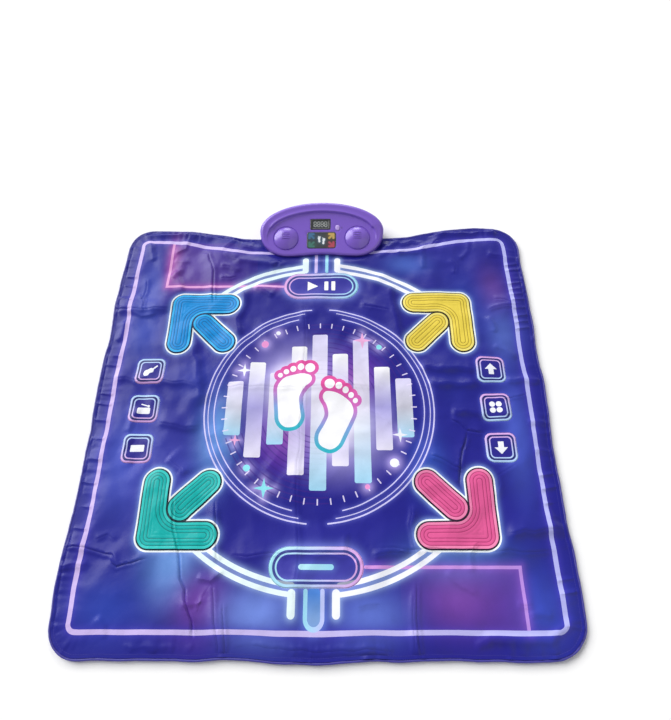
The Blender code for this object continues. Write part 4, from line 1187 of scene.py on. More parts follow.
@dataclass(frozen=True)
class Relief:
    """The height of the mat's top and the waver of its edge, in millimetres."""

    shape: MatShape
    level: float = 8.6               # the flat cover's height over the floor
    least: float = 8.05              # the foam under the cover keeps it above this
    loose: float = 1.9               # how far the loose film stands off the foam on average
    waves: tuple[tuple[float, float], ...] = ((44, 0.8), (70, 1.6), (120, 2.6), (200, 2.8))
    seam: float = 10.0               # from the edge to the line of stitches
    seam_sink: float = 1.1
    puckers: tuple[tuple[float, float], ...] = ((11.0, 0.3), (17.0, 0.5), (29.0, 0.7))
    pucker_reach: float = 30.0
    waver: tuple[tuple[int, float], ...] = ((3, 1.3), (7, 1.6), (12, 1.5), (19, 1.2), (31, 0.7), (53, 0.35))
    waver_mean: float = 3.0
    waver_limits: Place = (0.2, 9.0)
    waver_reach: float = 68.0
    unit_seat: tuple[Place, Place, float] = ((-82, 447), (82, 447), 66)     # the strip that the unit keeps flat
    soften: float = 0.5              # over the least height, the range in which hollows level out
    seed: int = 7

    def wavy(self, points: Points) -> np.ndarray:
        """Crumple the film: bent ridges in all directions, with nearly flat slopes between them.

        Args:
            points: where.

        Returns:
            The rise at each point.
        """
        chance = np.random.default_rng(self.seed)
        height = np.zeros(len(points))
        for length, size in self.waves:
            for _ in range(3):
                lean, *phase = chance.uniform(0, 1, 4)
                lean *= pi
                along, across = points @ (cos(lean), sin(lean)), points @ (-sin(lean), cos(lean))
                bend = 0.3 * np.sin(2 * pi * (across / (2.7 * length) + phase[0]))
                ridge = np.sqrt(((along / length + bend + phase[1]) % 1 - 0.5) ** 2 + 0.002)
                local = 0.5 + 0.5 * np.sin(2 * pi * ((across - 0.6 * along) / (4.3 * length) + phase[2]))
                height += size * (2 * ridge - 0.5) * local
        return height

    def edge(self, points: Points) -> np.ndarray:
        """Shape the sewn edge: a groove at the stitches, a soft lip outside it and puckers across it.

        Args:
            points: where.

        Returns:
            The rise at each point.
        """
        away, along, _ = follow(points, self.shape.outline())
        chance = np.random.default_rng(self.seed + 1)
        height = -self.seam_sink * np.exp(-((away - self.seam) / 1.5) ** 2)
        height -= 0.35 * np.exp(-(np.maximum(away - self.seam, 0) / 9) ** 2)
        ripple = sum(size * np.sin(2 * pi * along / length + chance.uniform(0, 6)
                                   + 2.0 * np.sin(along / (2.3 * length)))
                     * (0.5 + 0.5 * np.sin(along / (1.7 * length) + chance.uniform(0, 6)))
                     for length, size in self.puckers)
        return height + ripple * np.exp(-(away / self.pucker_reach) ** 2)

    def top(self, points: Points) -> np.ndarray:
        """Find the cover's top.

        Args:
            points: where.

        Returns:
            Its height over the floor at each point.
        """
        rise = self.wavy(points) + self.edge(points) + sum(fold.height(points) for fold in FOLDS)
        rise += self.loose * smoothstep(8, 60, follow(points, self.shape.outline())[0])
        seat = capsule(*self.unit_seat)
        away = follow(points, seat)[0] * np.where(inside(points, [seat]), 0, 1)
        height = self.level + rise * smoothstep(0, 16, away)
        soft = self.least + self.soften
        low = height < soft
        height[low] = self.least + self.soften * np.exp((height[low] - soft) / self.soften)
        return height

    def spread(self, points: Points) -> Points:
        """Push the mat's edge out by its waver.

        Args:
            points: points of the flat mat.

        Returns:
            The same points where they lie.
        """
        line = self.shape.outline()
        away, along, outward = follow(points, line)
        around = norm(np.roll(line, -1, axis=0) - line, axis=1).sum()
        chance = np.random.default_rng(self.seed + 2)
        push = self.waver_mean + sum(size * np.sin(2 * pi * (turns * along / around + chance.uniform(0, 1)))
                                     for turns, size in self.waver)
        push = np.clip(push, *self.waver_limits) * (1 - smoothstep(8, self.waver_reach, away))
        beside = smoothstep(170, 230, np.abs(points[:, 0])) + smoothstep(40, 90, 440 - points[:, 1])
        return points + outward * (push * np.minimum(beside, 1))[:, None]


class Sign(Enum):
    """The figures on the pads."""

    START = "start_pad"
    DASH = "dash_pad"
    GUITAR = "icon_pad_left_rear"
    DRUM = "icon_pad_left_middle"
    KEYS = "icon_pad_left_front"
    UP = "icon_pad_right_rear"
    DOTS = "icon_pad_right_middle"
    DOWN = "icon_pad_right_front"


def middle_of(node: str) -> Place:
    """The middle of a node from above, in millimetres."""
    low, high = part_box(node)
    return (low.x + high.x) / 2 / MM, (low.y + high.y) / 2 / MM


@dataclass(frozen=True)
class ArrowShape:
    """A step arrow: two arms from an outer corner, and a stem whose round end lies in their inner corner."""

    arm: float = 152.0
    width: float = 51.0
    corner: float = 25.0
    inner: float = 25.6              # rounding of the arms' inner corner
    stem_radius: float = 25.0
    stem_end: float = 125.0

    def arms(self, inset: float) -> Points:
        """Draw the two arms, with their outer corner at the origin.

        Args:
            inset: how far the outline is moved inwards.

        Returns:
            The outline.
        """
        half, end = self.width / 2, self.arm - self.width / 2
        return np.vstack((arc((self.corner,) * 2, max(self.corner - inset, 0.4), 180, 270),
                          arc((end, half), half - inset, -90, 90),
                          arc((self.width + self.inner,) * 2, self.inner + inset, 270, 180),
                          arc((half, end), half - inset, 0, 180)))

    def stem(self, inset: float) -> Points:
        """The stem, moved inwards."""
        return capsule((self.width + self.inner,) * 2, (self.stem_end,) * 2, self.stem_radius - inset)

    def whole(self, grow: float = 0.0) -> Points:
        """Draw arms and stem as one.

        Args:
            grow: how far the outline is moved outwards.

        Returns:
            The outline.
        """
        end, half, stem = self.arm - self.width / 2, self.width / 2, self.stem_radius + grow
        inner = self.width + grow
        notch = inner + stem * sqrt(2)
        return np.vstack((arc((self.corner,) * 2, self.corner + grow, 180, 270), arc((end, half), half + grow, -90, 90),
                          [(notch, inner)], arc((self.stem_end,) * 2, stem, -45, 135), [(inner, notch)],
                          arc((half, end), half + grow, 0, 180)))


@dataclass(frozen=True)
class ArrowInks:
    """The colours of one arrow: its body, its lines and its dark outline."""

    node: str
    slot: str
    side: int
    end: int
    body: str
    light: str
    line: str
    outline: str

    def turned(self, loop: Points, middle: float) -> Points:
        """Set a loop in its place, with its corner pointing out of the mat.

        Args:
            loop: the loop.
            middle: the arrow's middle on both its axes.

        Returns:
            The loop, counter-clockwise.
        """
        x, y = middle_of(self.node)
        points = np.column_stack((x + self.side * (middle - loop[:, 0]), y + self.end * (middle - loop[:, 1])))
        return points if self.side == self.end else points[::-1]


ARROWS = (
    ArrowInks("arrow_pad_rear_left", "arrow_blue", -1, 1, "#0A8CD8", "#2CB0EE", "#06609C", "#062C52"),
    ArrowInks("arrow_pad_rear_right", "arrow_yellow", 1, 1, "#EAD250", "#F3E278", "#A48C2C", "#2E2812"),
    ArrowInks("arrow_pad_front_left", "arrow_teal", -1, -1, "#0CB0AC", "#30C8C2", "#0A7A78", "#052E34"),
    ArrowInks("arrow_pad_front_right", "arrow_pink", 1, -1, "#DC5A94", "#EC84B0", "#AC3A6E", "#2A0E2A"),
)
# Soft patches of the mat's ground: place, radii, colour and strength
CLOUDS = (
    (-385, -116, 52, 105, "#4A5CC8", 0.75), (-300, -150, 80, 90, "#4048B4", 0.6),
    (-262, -312, 46, 62, "#74A8EE", 0.75), (-205, -376, 50, 52, "#6A3498", 0.85),
    (-370, -385, 62, 50, "#2E48B4", 0.7), (250, -368, 62, 48, "#74409E", 0.8), (252, -300, 90, 40, "#5A86D0", 0.45),
    (395, -385, 45, 60, "#3C50BC", 0.7), (-104, -392, 62, 42, "#7C98EE", 0.8), (95, -396, 62, 38, "#6C84E4", 0.7),
    (-352, 366, 18, 62, "#C060A8", 0.6), (-290, 366, 70, 60, "#5650AC", 0.55), (-395, 300, 34, 90, "#3C4EB8", 0.7),
    (-392, 175, 40, 66, "#4258C0", 0.6), (200, 358, 46, 28, "#5A80E0", 0.5), (300, 380, 60, 30, "#3A3EA8", 0.3),
    (388, 282, 32, 56, "#744494", 0.6), (400, 165, 34, 60, "#5C74CC", 0.65), (340, 250, 60, 70, "#2C46AC", 0.5),
    (395, -60, 30, 120, "#4C60C8", 0.7), (-206, -64, 34, 80, "#6CA8F0", 0.75), (215, -125, 34, 60, "#3A62C8", 0.5),
    (-262, 60, 50, 60, "#2636A0", 0.6), (280, 60, 50, 90, "#1C2488", 0.6), (0, -262, 120, 30, "#2A2A98", 0.5),
)
WHITE = "#F4F6FF"
LAVENDER = "#CDBDF2"
CYAN = "#9FDDF6"


@dataclass
class MatPrint(Artwork):
    """The drawing on the mat: frame, arcs, rings, level bars, footprints, pads' signs and arrows."""

    ground: str = "#1B1A84"
    clouds: tuple[Cloud, ...] = tuple(Cloud((x, y), (wide, high), *tint) for x, y, wide, high, *tint in CLOUDS)
    shape: MatShape = MatShape()
    arrow: ArrowShape = ArrowShape()
    border_x: float = 430.0
    border_front: float = -422.5
    border_rear: float = 429.0
    border_dip: float = 34.0
    middle: Place = (0.0, -5.0)
    line_pitch: float = 6.5          # between the lines inside an arrow
    line_width: float = 1.6
    arc_radii: Place = (361.0, 345.0)
    arc_spans: tuple[Place, ...] = ((97, 129), (51, 83), (231, 263), (277, 309))     # in degrees
    arc_width: float = 9.0
    post_radius: float = 7.0
    # Radius and width of the thin rings, and half their opening in degrees
    thin_rings: tuple[tuple[float, float, float], ...] = ((236, 2.8, 5), (228, 1.8, 9), (216, 2.2, 13))
    sound_radii: Iterable[float] = range(66, 200, 11)
    bars: tuple[float, ...] = (120, 212, 160, 286, 346, 250, 318, 184, 130)          # heights, left to right
    bar_width: float = 33.0
    bar_pitch: float = 44.0
    rays: int = 48
    ray_ends: Place = (190.0, 200.0)

    def __post_init__(self) -> None:
        """Draw everything in order."""
        for draw in (self.frame_lines, self.arcs, self.rings, self.level_bars, self.footprints, self.pills, self.icons):
            draw()
        for inks in ARROWS:
            self.arrow_print(inks)

    def border(self, inset: float = 0.0) -> Points:
        """Draw the border line's course, which dips at the control unit.

        Args:
            inset: how far it is moved inwards.

        Returns:
            Its points.
        """
        x, radius = self.border_x - inset, 13.0
        run = np.linspace(x - radius, -(x - radius), 81)
        rear = np.column_stack((run, self.border_rear - inset - self.shape.drawn(run, self.border_dip)))
        low, high = self.border_front + inset + radius, self.border_rear - inset - radius
        return np.vstack((arc((-x + radius, low), radius, 180, 270), arc((x - radius, low), radius, 270, 360),
                          arc((x - radius, high), radius, 0, 85), rear, arc((-x + radius, high), radius, 95, 180)))

    def frame_lines(self) -> None:
        """The glowing border and the two angled lines that join the long pads to it."""
        start, dash = middle_of("start_pad")[1], middle_of("dash_pad")[1]
        rear = np.array(((-150, 418), (-150, start), (-357, start), (-357, 424)))
        front = np.array(((366, -419), (366, dash), (150, dash), (150, -419)))
        for corners, corner, far, colour, strength in (
                (rear, (-357, start), (-150, 424), "#B04C98", 0.16),
                (front, (366, dash), (150, -419), "#8A50B4", 0.36)):
            self.add(corners, Ink((colour, colour), (strength, 0.0), corner, far))
        for line, colours, ends, glow in (
                (((-357, 424), (-357, start), (-87, start)), ("#DC9AD2", "#E3A6E0"), ((-357, 426), (-84, start)),
                 "#C060C0"),
                (((366, -419), (366, dash), (89, dash)), ("#B48AE0", "#CE92D8"), ((366, -419), (82, dash)), "#9060D0")):
            self.add(stroke(line, 6.0), Ink(colours, (1.0,), *ends), Glow(glow, 7, 0.4))
        border = Ink(("#CDB8EE", "#C9BEF2", "#B2B4F0"), start=(-430, 0), end=(430, 0))
        self.add([grown(self.border(), side) for side in (4.0, -4.0)], border, Glow("#4A40C0", 6, 0.4))

    def arcs(self) -> None:
        """The two pairs of bright arcs between the long pads and the arrows, and the posts at the pads."""
        start, dash = middle_of("start_pad")[1], middle_of("dash_pad")[1]
        white = Ink(("#EAFBFF", WHITE))
        for first, last in self.arc_spans:
            for radius in self.arc_radii:
                line = arc(self.middle, radius, first, last, 5.0)
                self.add(stroke(line, self.arc_width), white, Glow("#A8C4FA", 5.0, 0.42))
        for x, low, high in ((-37, start + 44, 372), (37, start + 44, 372), (-43, -396, dash - 44),
                             (36, -396, dash - 44)):
            self.add(capsule((x, low), (x, high), self.post_radius), white, Glow("#A8C4FA", 5, 0.45))
        for x, colour in ((-12.5, LAVENDER), (12.5, CYAN)):
            self.add(capsule((x, start + 40), (x, 392), 3.6), colour, Glow("#6E8CE8", 6, 0.4))
        ends = (-3, dash - 44), (-3, -402)
        self.add(capsule(*ends, 11), Ink(("#4A8ADA", "#86AEE0"), (0.8,), *ends))
        run = np.vstack(([(-18, dash - 40)], arc((-3, -402), 15, 180, 360), [(12, dash - 40)]))
        self.add(stroke(run, 7.5), Ink((CYAN, "#BFC8FA"), start=(-18, 0), end=(12, 0)), Glow("#6E8CE8", 7, 0.5))

    def rings(self) -> None:
        """Thin rings round the middle, open at the front and at the rear."""
        for radius, width, gap in self.thin_rings:
            for start in (90 + gap, 270 + gap):
                line = arc(self.middle, radius, start, start + 180 - 2 * gap, 5.0)
                self.add(stroke(line, width), Ink(("#D9D4FF",), (0.95,)), Glow("#6A70D8", 4, 0.3))

    def level_bars(self) -> None:
        """Level bars of light behind the footprints, with rays, sound arcs, dots and sparks round them."""
        x0, y0 = self.middle
        white = ("#FFFFFF", "#C0B6F6", "#5A48B8"), (0.92, 0.5, 0.0)
        violet = ("#8A2FA0", "#6A2FA8", "#3A2898"), (0.75, 0.5, 0.0)
        for x, y, reach, inks in ((-42, 38, 165, white), (42, -38, 155, white), *(
                (92 * cos(radians(lean)), 92 * sin(radians(lean)), 105, violet) for lean in (225, 45))):
            spot = (x0 + x, y0 + y)
            self.add(disc(spot, reach, 5.0), Ink(*inks, spot, (spot[0] + reach, spot[1]), True))
        for radius in self.sound_radii:
            for start in (20, 200):
                self.add(stroke(arc(self.middle, radius, start, start + 76, 5.0), 2.6), Ink(("#3A1C80",), (0.55,)))
        for k, height in enumerate(self.bars):
            x = x0 + (k - 4) * self.bar_pitch
            colours = ("#FFFFFF", "#C9C4FA", "#F2EEFF") if k % 2 else ("#E4DEFF", "#FFFFFF", "#A8E0FA")
            self.add(rounded_box((x, y0), (self.bar_width, height), 4),
                    Ink(colours, (0.92, 0.55, 0.88), (x, y0 + height / 2), (x, y0 - height / 2)))
        for k in range(self.rays):
            ray = spin(radians(360 / self.rays * k))[0]
            self.add(stroke([ray * end + self.middle for end in self.ray_ends], 2.6), Ink(("#E9DFFF",), (0.85,)))
        halo, rose, aqua = Glow("#C8B8FF", 8, 0.6), "#F09AD8", "#8EE6F2"
        for x, y, radius, colour in ((-120, 150, 8, rose), (128, 142, 6, aqua), (150, -118, 9, WHITE),
                                     (-140, -128, 7, aqua), (96, -166, 5, rose), (-92, 176, 5, WHITE)):
            self.add(disc((x, y + y0), radius), colour, halo)
        for x, y, size, colour in ((92, 158, 20, "#F5B4E4"), (-160, 86, 16, WHITE), (164, -60, 16, WHITE),
                                   (-104, -168, 20, aqua), (-168, -70, 12, "#F5B4E4")):
            spark = [(size * (1, 0.28)[k % 2] * cos(pi * k / 4), size * (1, 0.28)[k % 2] * sin(pi * k / 4))
                     for k in range(8)]
            self.add(moved(np.array(spark), (x, y + y0)), colour, halo, 3.0)

    def footprints(self) -> None:
        """Two white footprints with a rim that fades from pink at the toes to teal at the heel."""
        sole = smooth_loop(((0, -76), (15, -70), (21, -52), (16, -28), (13, -6), (20, 14), (31, 30), (28, 44),
                            (12, 47), (-6, 42), (-22, 31), (-30, 12), (-27, -14), (-22, -42), (-18, -62), (-10, -73)))
        toes = ((25, 63, 9.5, 11.5), (7.5, 63, 6.3, 8.2), (-6.5, 57, 5.8, 7.4), (-18.5, 48.5, 5.3, 6.6),
                (-28.5, 38.5, 4.7, 5.8))
        for place, turn, mirror in (((-55, 27), -6, 1), ((35, -20), -13, -1)):
            parts = [sole] + [np.array(((cx, cy),)) + disc((0, 0), 1.0, 0.4) * (rx, ry) for cx, cy, rx, ry in toes]
            parts = [moved((part * (1.13 * mirror, 1))[::mirror], place, turn) for part in parts]
            rim = Ink(("#E0519F", "#D06CC0", "#7FA0DC", "#2FB6C8"), start=(place[0], place[1] + 66),
                      end=(place[0], place[1] - 76))
            for part in parts:
                self.add(grown(part, 8.0), rim, Glow("#E4DCFF", 9, 0.8))
            for part in parts:
                self.add(part, "#FAFAFF")

    def pills(self) -> None:
        """The start and the dash pad: a wide line, a thin line inside it and a sign."""
        for node, colours in ((Sign.START.value, ("#DFA9E6", "#C2C2F6", "#9FDDF6")),
                              (Sign.DASH.value, ("#A5E4F2", "#BFCBF8", "#DDA2E2"))):
            x, y = middle_of(node)
            across = Ink(colours, start=(x - 84, y), end=(x + 84, y))
            ring = {radius: capsule((x - 50, y), (x + 50, y), radius) for radius in (36, 30.5, 29.5, 25, 24.5, 21.5)}
            self.add([ring[30.5], ring[25]], Ink(("#26306E",), (0.65,)))
            self.add(ring[25], Ink(("#4F4DB4", "#33309A"), (0.7,), (x, y - 25), (x, y + 25)))
            self.add([ring[36], ring[29.5]], across, Glow("#7F8CE8", 8, 0.5))
            self.add([ring[24.5], ring[21.5]], across)
        x, y = middle_of(Sign.START.value)
        self.add(moved(np.array(((-11, -13), (13, 0), (-11, 13))), (x - 20, y)), "#FFFFFF")
        for side in (12, 28):
            self.add(rounded_box((x + side, y), (9, 25), 1.5), "#FFFFFF")
        x, y = middle_of(Sign.DASH.value)
        self.add(capsule((x - 27, y), (x + 27, y), 5), Ink(("#B9ECFA", CYAN), start=(x - 27, y), end=(x + 27, y)),
                Glow("#7FA8F0", 6, 0.6))

    def icons(self) -> None:
        """The six option pads with their figures."""
        for sign, loops in self.figures().items():
            x, y = middle_of(sign.value)
            ink = Ink(("#D9A6E4", "#C2C6F8", "#B4D6FA")[::1 if x < 0 else -1], start=(x, y - 30), end=(x, y + 30))
            for squares, tint, glow in ((((54, 11),), Ink(("#14184A",), (0.75,)), None),
                                        (((43, 8),), Ink(("#2A2490",), (0.8,)), None),
                                        (((61.5, 14), (52.5, 10.5)), ink, Glow("#5058C8", 4, 0.4)),
                                        (((45, 8.8), (40, 6.8)), ink, None)):
                self.add([rounded_box((x, y), (size, size), radius) for size, radius in squares], tint, glow)
            for loop in loops:
                self.add(moved(loop, (x, y)), WHITE, step=3.0)

    def figures(self) -> dict[Sign, list[Points]]:
        """The white figures of the option pads, each about its middle.

        Returns:
            The outlines for each sign.
        """
        arrow = np.array(((-5.5, -12), (5.5, -12), (5.5, 0), (13, 0), (0, 13.5), (-13, 0), (-5.5, 0)))
        body = smooth_loop(((-13, -7), (-10, -13), (-3, -12), (0, -6), (6, -3), (7, 4), (1, 7), (-5, 3), (-11, 0)))
        return {Sign.GUITAR: [body, stroke(((3, 2), (13, 12)), 3.4)],
                Sign.DRUM: [rounded_box((0, -5), (26, 14), 3), stroke(((-6, 9.5), (7, 5.5)), 2.6), disc((9, 5), 2.6)],
                Sign.KEYS: [rounded_box((0, 0), (28, 14), 1.5)],
                Sign.UP: [arrow],
                Sign.DOTS: [disc((sx * 6.6, sy * 6.6), 5.9) for sx in (-1, 1) for sy in (-1, 1)],
                Sign.DOWN: [arrow[::-1] * (1, -1)]}

    def arrow_print(self, inks: ArrowInks) -> None:
        """One arrow: white light round it, then arms and stem, each with its dark outline and inner lines.

        Args:
            inks: its colours and its place.
        """
        shape, pitch = self.arrow, self.line_pitch
        layers = [([shape.whole(4.4)], "#F2FAFD", Glow("#8AA8F0", 4.5, 0.5))]
        for form in (shape.arms, shape.stem):
            layers += [([form(-1.2)], inks.outline), ([form(1.8)], inks.light), ([form(pitch)], inks.body)]
            layers += [([form(k * pitch), form(k * pitch + self.line_width)], inks.line) for k in (1, 2, 3)]
        for loops, *look in layers:
            self.add([inks.turned(loop, shape.arm / 2) for loop in loops], *look, step=2.5)


@dataclass
class DanceMat:
    """The mat: its printed cover, the press pads, the sewn edge and the cloth under it."""

    shape: MatShape = MatShape()
    binding_width: float = 4.0
    clearance: float = 0.5
    pad_foot: float = 4.4            # height of the pads' lower end
    cover_low: float = 7.65
    bead_level: float = 4.3          # height of the wrapped edge's middle
    cloth_top: float = 0.8
    long_pad: Place = (50.0, 35.0)   # half the run and the radius of the start and the dash pad
    icon_pad: Place = (60.0, 13.0)   # side and rounding of an option pad
    arrow_proud: float = 1.5
    flat_proud: float = 0.7
    edge_round: float = 1.1
    edge_drop: float = 0.8           # of a pad's rounded edge
    crown: Place = (0.35, 14.0)      # how far a pad bulges, and how far in from its edge
    seam_lines: tuple[float, ...] = (8.2, 10.0, 11.8, 15.0)   # from the edge, along which the cover is cut
    bead: tuple[float, float, float] = (7.9, 1.8, 0.55)       # height, rounding and puckers of the wrapped edge
    bead_ripple: float = 11.0        # length of its puckers
    cover_pitch: float = 5.6
    cover_fine: float = 3.2
    arrow_pitch: float = 1.35
    pad_pitch: float = 2.0
    ridge: float = 0.3               # depth of the lines pressed in the arrows
    stitch: tuple[float, float, float] = (3.0, 0.45, 4.4)     # length, thickness and pitch
    dot: tuple[float, float, float] = (3.0, 0.3, 19.0)        # radius, height and pitch

    def __post_init__(self) -> None:
        """Draw the print and lay out the relief."""
        self.relief = Relief(self.shape)
        self.art = MatPrint(shape=self.shape)

    def pad_outlines(self, grow: float = 0.0) -> dict[str, Points]:
        """Draw the pads' outlines.

        Args:
            grow: how far they are moved outwards.

        Returns:
            Each outline by the name of its node.
        """
        arrow, middle = self.art.arrow, self.art.arrow.arm / 2
        found = {inks.node: inks.turned(arrow.whole(grow), middle) for inks in ARROWS}
        for sign in Sign:
            x, y = middle_of(sign.value)
            if sign in (Sign.START, Sign.DASH):
                run, radius = self.long_pad
                found[sign.value] = capsule((x - run, y), (x + run, y), radius + grow)
            else:
                side, radius = self.icon_pad
                found[sign.value] = rounded_box((x, y), (side + 2 * grow,) * 2, radius + grow)
        return found

    def cover(self) -> None:
        """The printed cover, with a hole at every pad."""
        holes = [spaced(loop, 2.6) for loop in self.pad_outlines(self.clearance).values()]
        outline = spaced(self.shape.outline(self.binding_width + 0.3), 3.0)
        seam = [spaced(self.shape.outline(inset), 3.0) for inset in self.seam_lines]
        made = Plate("printed_cover", PRINTED_FILM, outline, self.relief.top, self.cover_low, self.cover_pitch,
                     self.cover_fine, self.art, holes, seam, [fold.bent() for fold in FOLDS],
                     shift=self.relief.spread).build()
        self.film_area(outline, holes)
        settled(made, "mat", "printed_cover", "top_cover")

    def film_area(self, outline: Points, holes: Sequence[Points]) -> float:
        """Flat area of a sheet without its holes, in square metres."""
        return (area(outline) - sum(area(hole) for hole in holes)) * MM * MM

    def pads(self) -> None:
        """The twelve press pads, each on its own body."""
        arrows = {inks.node: inks for inks in ARROWS}
        for node, outline in self.pad_outlines().items():
            inks, outline = arrows.get(node), spaced(outline, 2.0)
            proud = self.arrow_proud if inks else self.flat_proud

            def top(points: Points) -> np.ndarray:
                """Height of the pad's top: raised over the cover, with a round edge and an arrow's pressed lines."""
                away = follow(points, outline)[0]
                drop = self.edge_drop * (1 - np.minimum(away / self.edge_round, 1)) ** 2
                height = self.relief.top(points) + proud - drop + self.crown[0] * (1 - np.exp(-away / self.crown[1]))
                return height + (self.pressed(points, inks) if inks else 0)

            edge = [spaced(grown(outline, -inset), 2.0) for inset in (0.35 * self.edge_round, self.edge_round)]
            # Painted shade: the pads' sides get the print at half its brightness.
            pad = Plate(node + "_film", PRINTED_FILM, outline, top, self.pad_foot,
                        self.arrow_pitch if inks else self.pad_pitch, art=self.art, lines=edge, rim=0.5).build()
            settled(pad, node, inks.slot if inks else "pad_print", node)

    def pressed(self, points: Points, inks: ArrowInks) -> np.ndarray:
        """Press the lines in an arrow.

        Args:
            points: where.
            inks: the arrow.

        Returns:
            The rise at each point, which is negative.
        """
        shape, middle = self.art.arrow, self.art.arrow.arm / 2
        stem, arms = (inks.turned(form(0.0), middle) for form in (shape.stem, shape.arms))
        on_stem = inside(points, [stem])
        away = np.where(on_stem, follow(points, stem)[0], follow(points, arms)[0])
        pitch, half = self.art.line_pitch, self.art.line_width / 2
        beside = np.abs((away - half + pitch / 2) % pitch - pitch / 2)
        return np.where(away > pitch / 2, -self.ridge * np.exp(-(beside / 1.1) ** 2), 0.0)

    def path(self, name: str, inset: float, lift: float, step: float) -> Object:
        """A closed line of mesh edges on the mat's wavering edge, for a tree to follow.

        Args:
            name: the object's name.
            inset: distance from the flat mat's edge.
            lift: height over the floor, or over the cover where it is negative.
            step: distance between two points.

        Returns:
            The line.
        """
        line = spaced(self.shape.outline(inset), step)
        height = np.full(len(line), lift) if lift > 0 else self.relief.top(line) - lift
        return wired(name, np.column_stack((self.relief.spread(line), height)),
                     [(k, (k + 1) % len(line)) for k in range(len(line))])

    def binding(self) -> None:
        """The film wrapped round the mat's edge, as a flat bead that follows the edge."""
        made = self.path("wrapped_edge", self.binding_width / 2, self.bead_level, 3.0)
        BeadTree((self.binding_width + 0.2) * MM, *(size * MM for size in self.bead),
                 1 / (self.bead_ripple * MM)).apply(made, EDGE_FILM)
        settled(made, "mat", "binding", "edge_binding")

    def stitches(self) -> None:
        """The row of stitches that holds the edge."""
        made = self.path("edge_stitches", self.relief.seam, -0.12, 1.5)
        StitchTree(*(size * MM for size in self.stitch)).apply(made, THREAD)
        settled(made, "mat", "binding")

    def cloth(self) -> None:
        """The cloth on the floor, above its dots."""
        outline = spaced(self.shape.outline(self.binding_width + 0.3), 12.0)
        made = Plate("ground_cloth", GROUND_CLOTH, outline, lambda points: np.full(len(points), self.cloth_top),
                     self.dot[1], 60.0).build()
        self.film_area(outline, [])
        settled(made, "mat", "dotted_cloth", "base_cloth")

    def dots(self) -> None:
        """The grip dots under the cloth."""
        radius, height, pitch = self.dot
        outline = self.shape.outline(self.binding_width + 8.0)
        grid = hexagons(outline.min(axis=0), outline.max(axis=0), pitch)
        grid = grid[inside(grid, [outline])]
        made = wired("grip_dots", np.column_stack((grid, np.full(len(grid), height))))
        DotTree(radius * MM, height * MM).apply(made, GRIP_DOT)
        settled(made, "mat", "dotted_cloth")

    def build(self) -> None:
        """Make every piece of the mat."""
        for make in (self.dots, self.cloth, self.cover, self.pads, self.binding, self.stitches):
            make()


# Geometry Nodes trees

@dataclass(frozen=True)
class Tree:
    """A geometry tree that turns a path or points into finished mesh. Its fields are its inputs, in metres."""

    def grow(self, tree: NodeTree, given: dict[str, NodeSocket]) -> NodeSocket:
        """Build the tree between its inputs and its last steps."""
        raise NotImplementedError

    def apply(self, thing: Object, finish: Finish) -> None:
        """Run the tree on an object and keep the plain mesh that it makes.

        Args:
            thing: the object with the path or the points.
            finish: the surface of what is made.
        """
        tree = bpy.data.node_groups.new(type(self).__name__, "GeometryNodeTree")
        face = tree.interface
        face.new_socket("Geometry", in_out="INPUT", socket_type="NodeSocketGeometry")
        named = {name: face.new_socket(name.title(), in_out="INPUT", socket_type="NodeSocketFloat")
                 for name in vars(self)}
        face.new_socket("Geometry", in_out="OUTPUT", socket_type="NodeSocketGeometry")
        start = tree.nodes.new("NodeGroupInput")
        made = self.grow(tree, {socket.name: socket for socket in start.outputs if socket.name})
        for kind in ("GeometryNodeRealizeInstances", "GeometryNodeSetShadeSmooth"):
            made = add_node(tree, kind, (made,))
        made = add_node(tree, "GeometryNodeSetMaterial", {0: made, "Material": finish.material()})
        add_node(tree, "NodeGroupOutput", (made,))
        step = thing.modifiers.new("grow", "NODES")
        step.node_group = tree
        for name, value in vars(self).items():
            step[named[name].identifier] = value
        flatten(thing)
        thing.data.set_sharp_from_angle(angle=GROWN_SHARP_ANGLE)


@dataclass(frozen=True)
class BeadTree(Tree):
    """A rounded flat bead along a closed path, with puckers."""

    width: float
    height: float
    bend: float
    pucker: float
    ripple: float                    # puckers in a metre

    def grow(self, tree: NodeTree, given: dict[str, NodeSocket]) -> NodeSocket:
        """Sweep a filleted rectangle along the path and push it in and out by noise."""
        path = add_node(tree, "GeometryNodeMeshToCurve", (given["Geometry"],))
        section = add_node(tree, "GeometryNodeCurvePrimitiveQuadrilateral",
                           {name: given[name] for name in ("Width", "Height")})
        soft = add_node(tree, "GeometryNodeFilletCurve", {"Curve": section, "Radius": given["Bend"], "Count": 4,
                                                          "Limit Radius": True}, mode="POLY")
        bead = add_node(tree, "GeometryNodeCurveToMesh", (path, soft))
        noise = add_node(tree, "ShaderNodeTexNoise", {"Detail": 1.0, "Scale": given["Ripple"]})
        push = calculate(tree, "MULTIPLY", calculate(tree, "SUBTRACT", noise, 0.5), given["Pucker"])
        offset = add_node(tree, "ShaderNodeVectorMath", {0: add_node(tree, "GeometryNodeInputNormal"),
                                                         "Scale": calculate(tree, "MULTIPLY", push, 2.0)},
                          operation="SCALE")
        return add_node(tree, "GeometryNodeSetPosition", {"Geometry": bead, "Offset": offset})


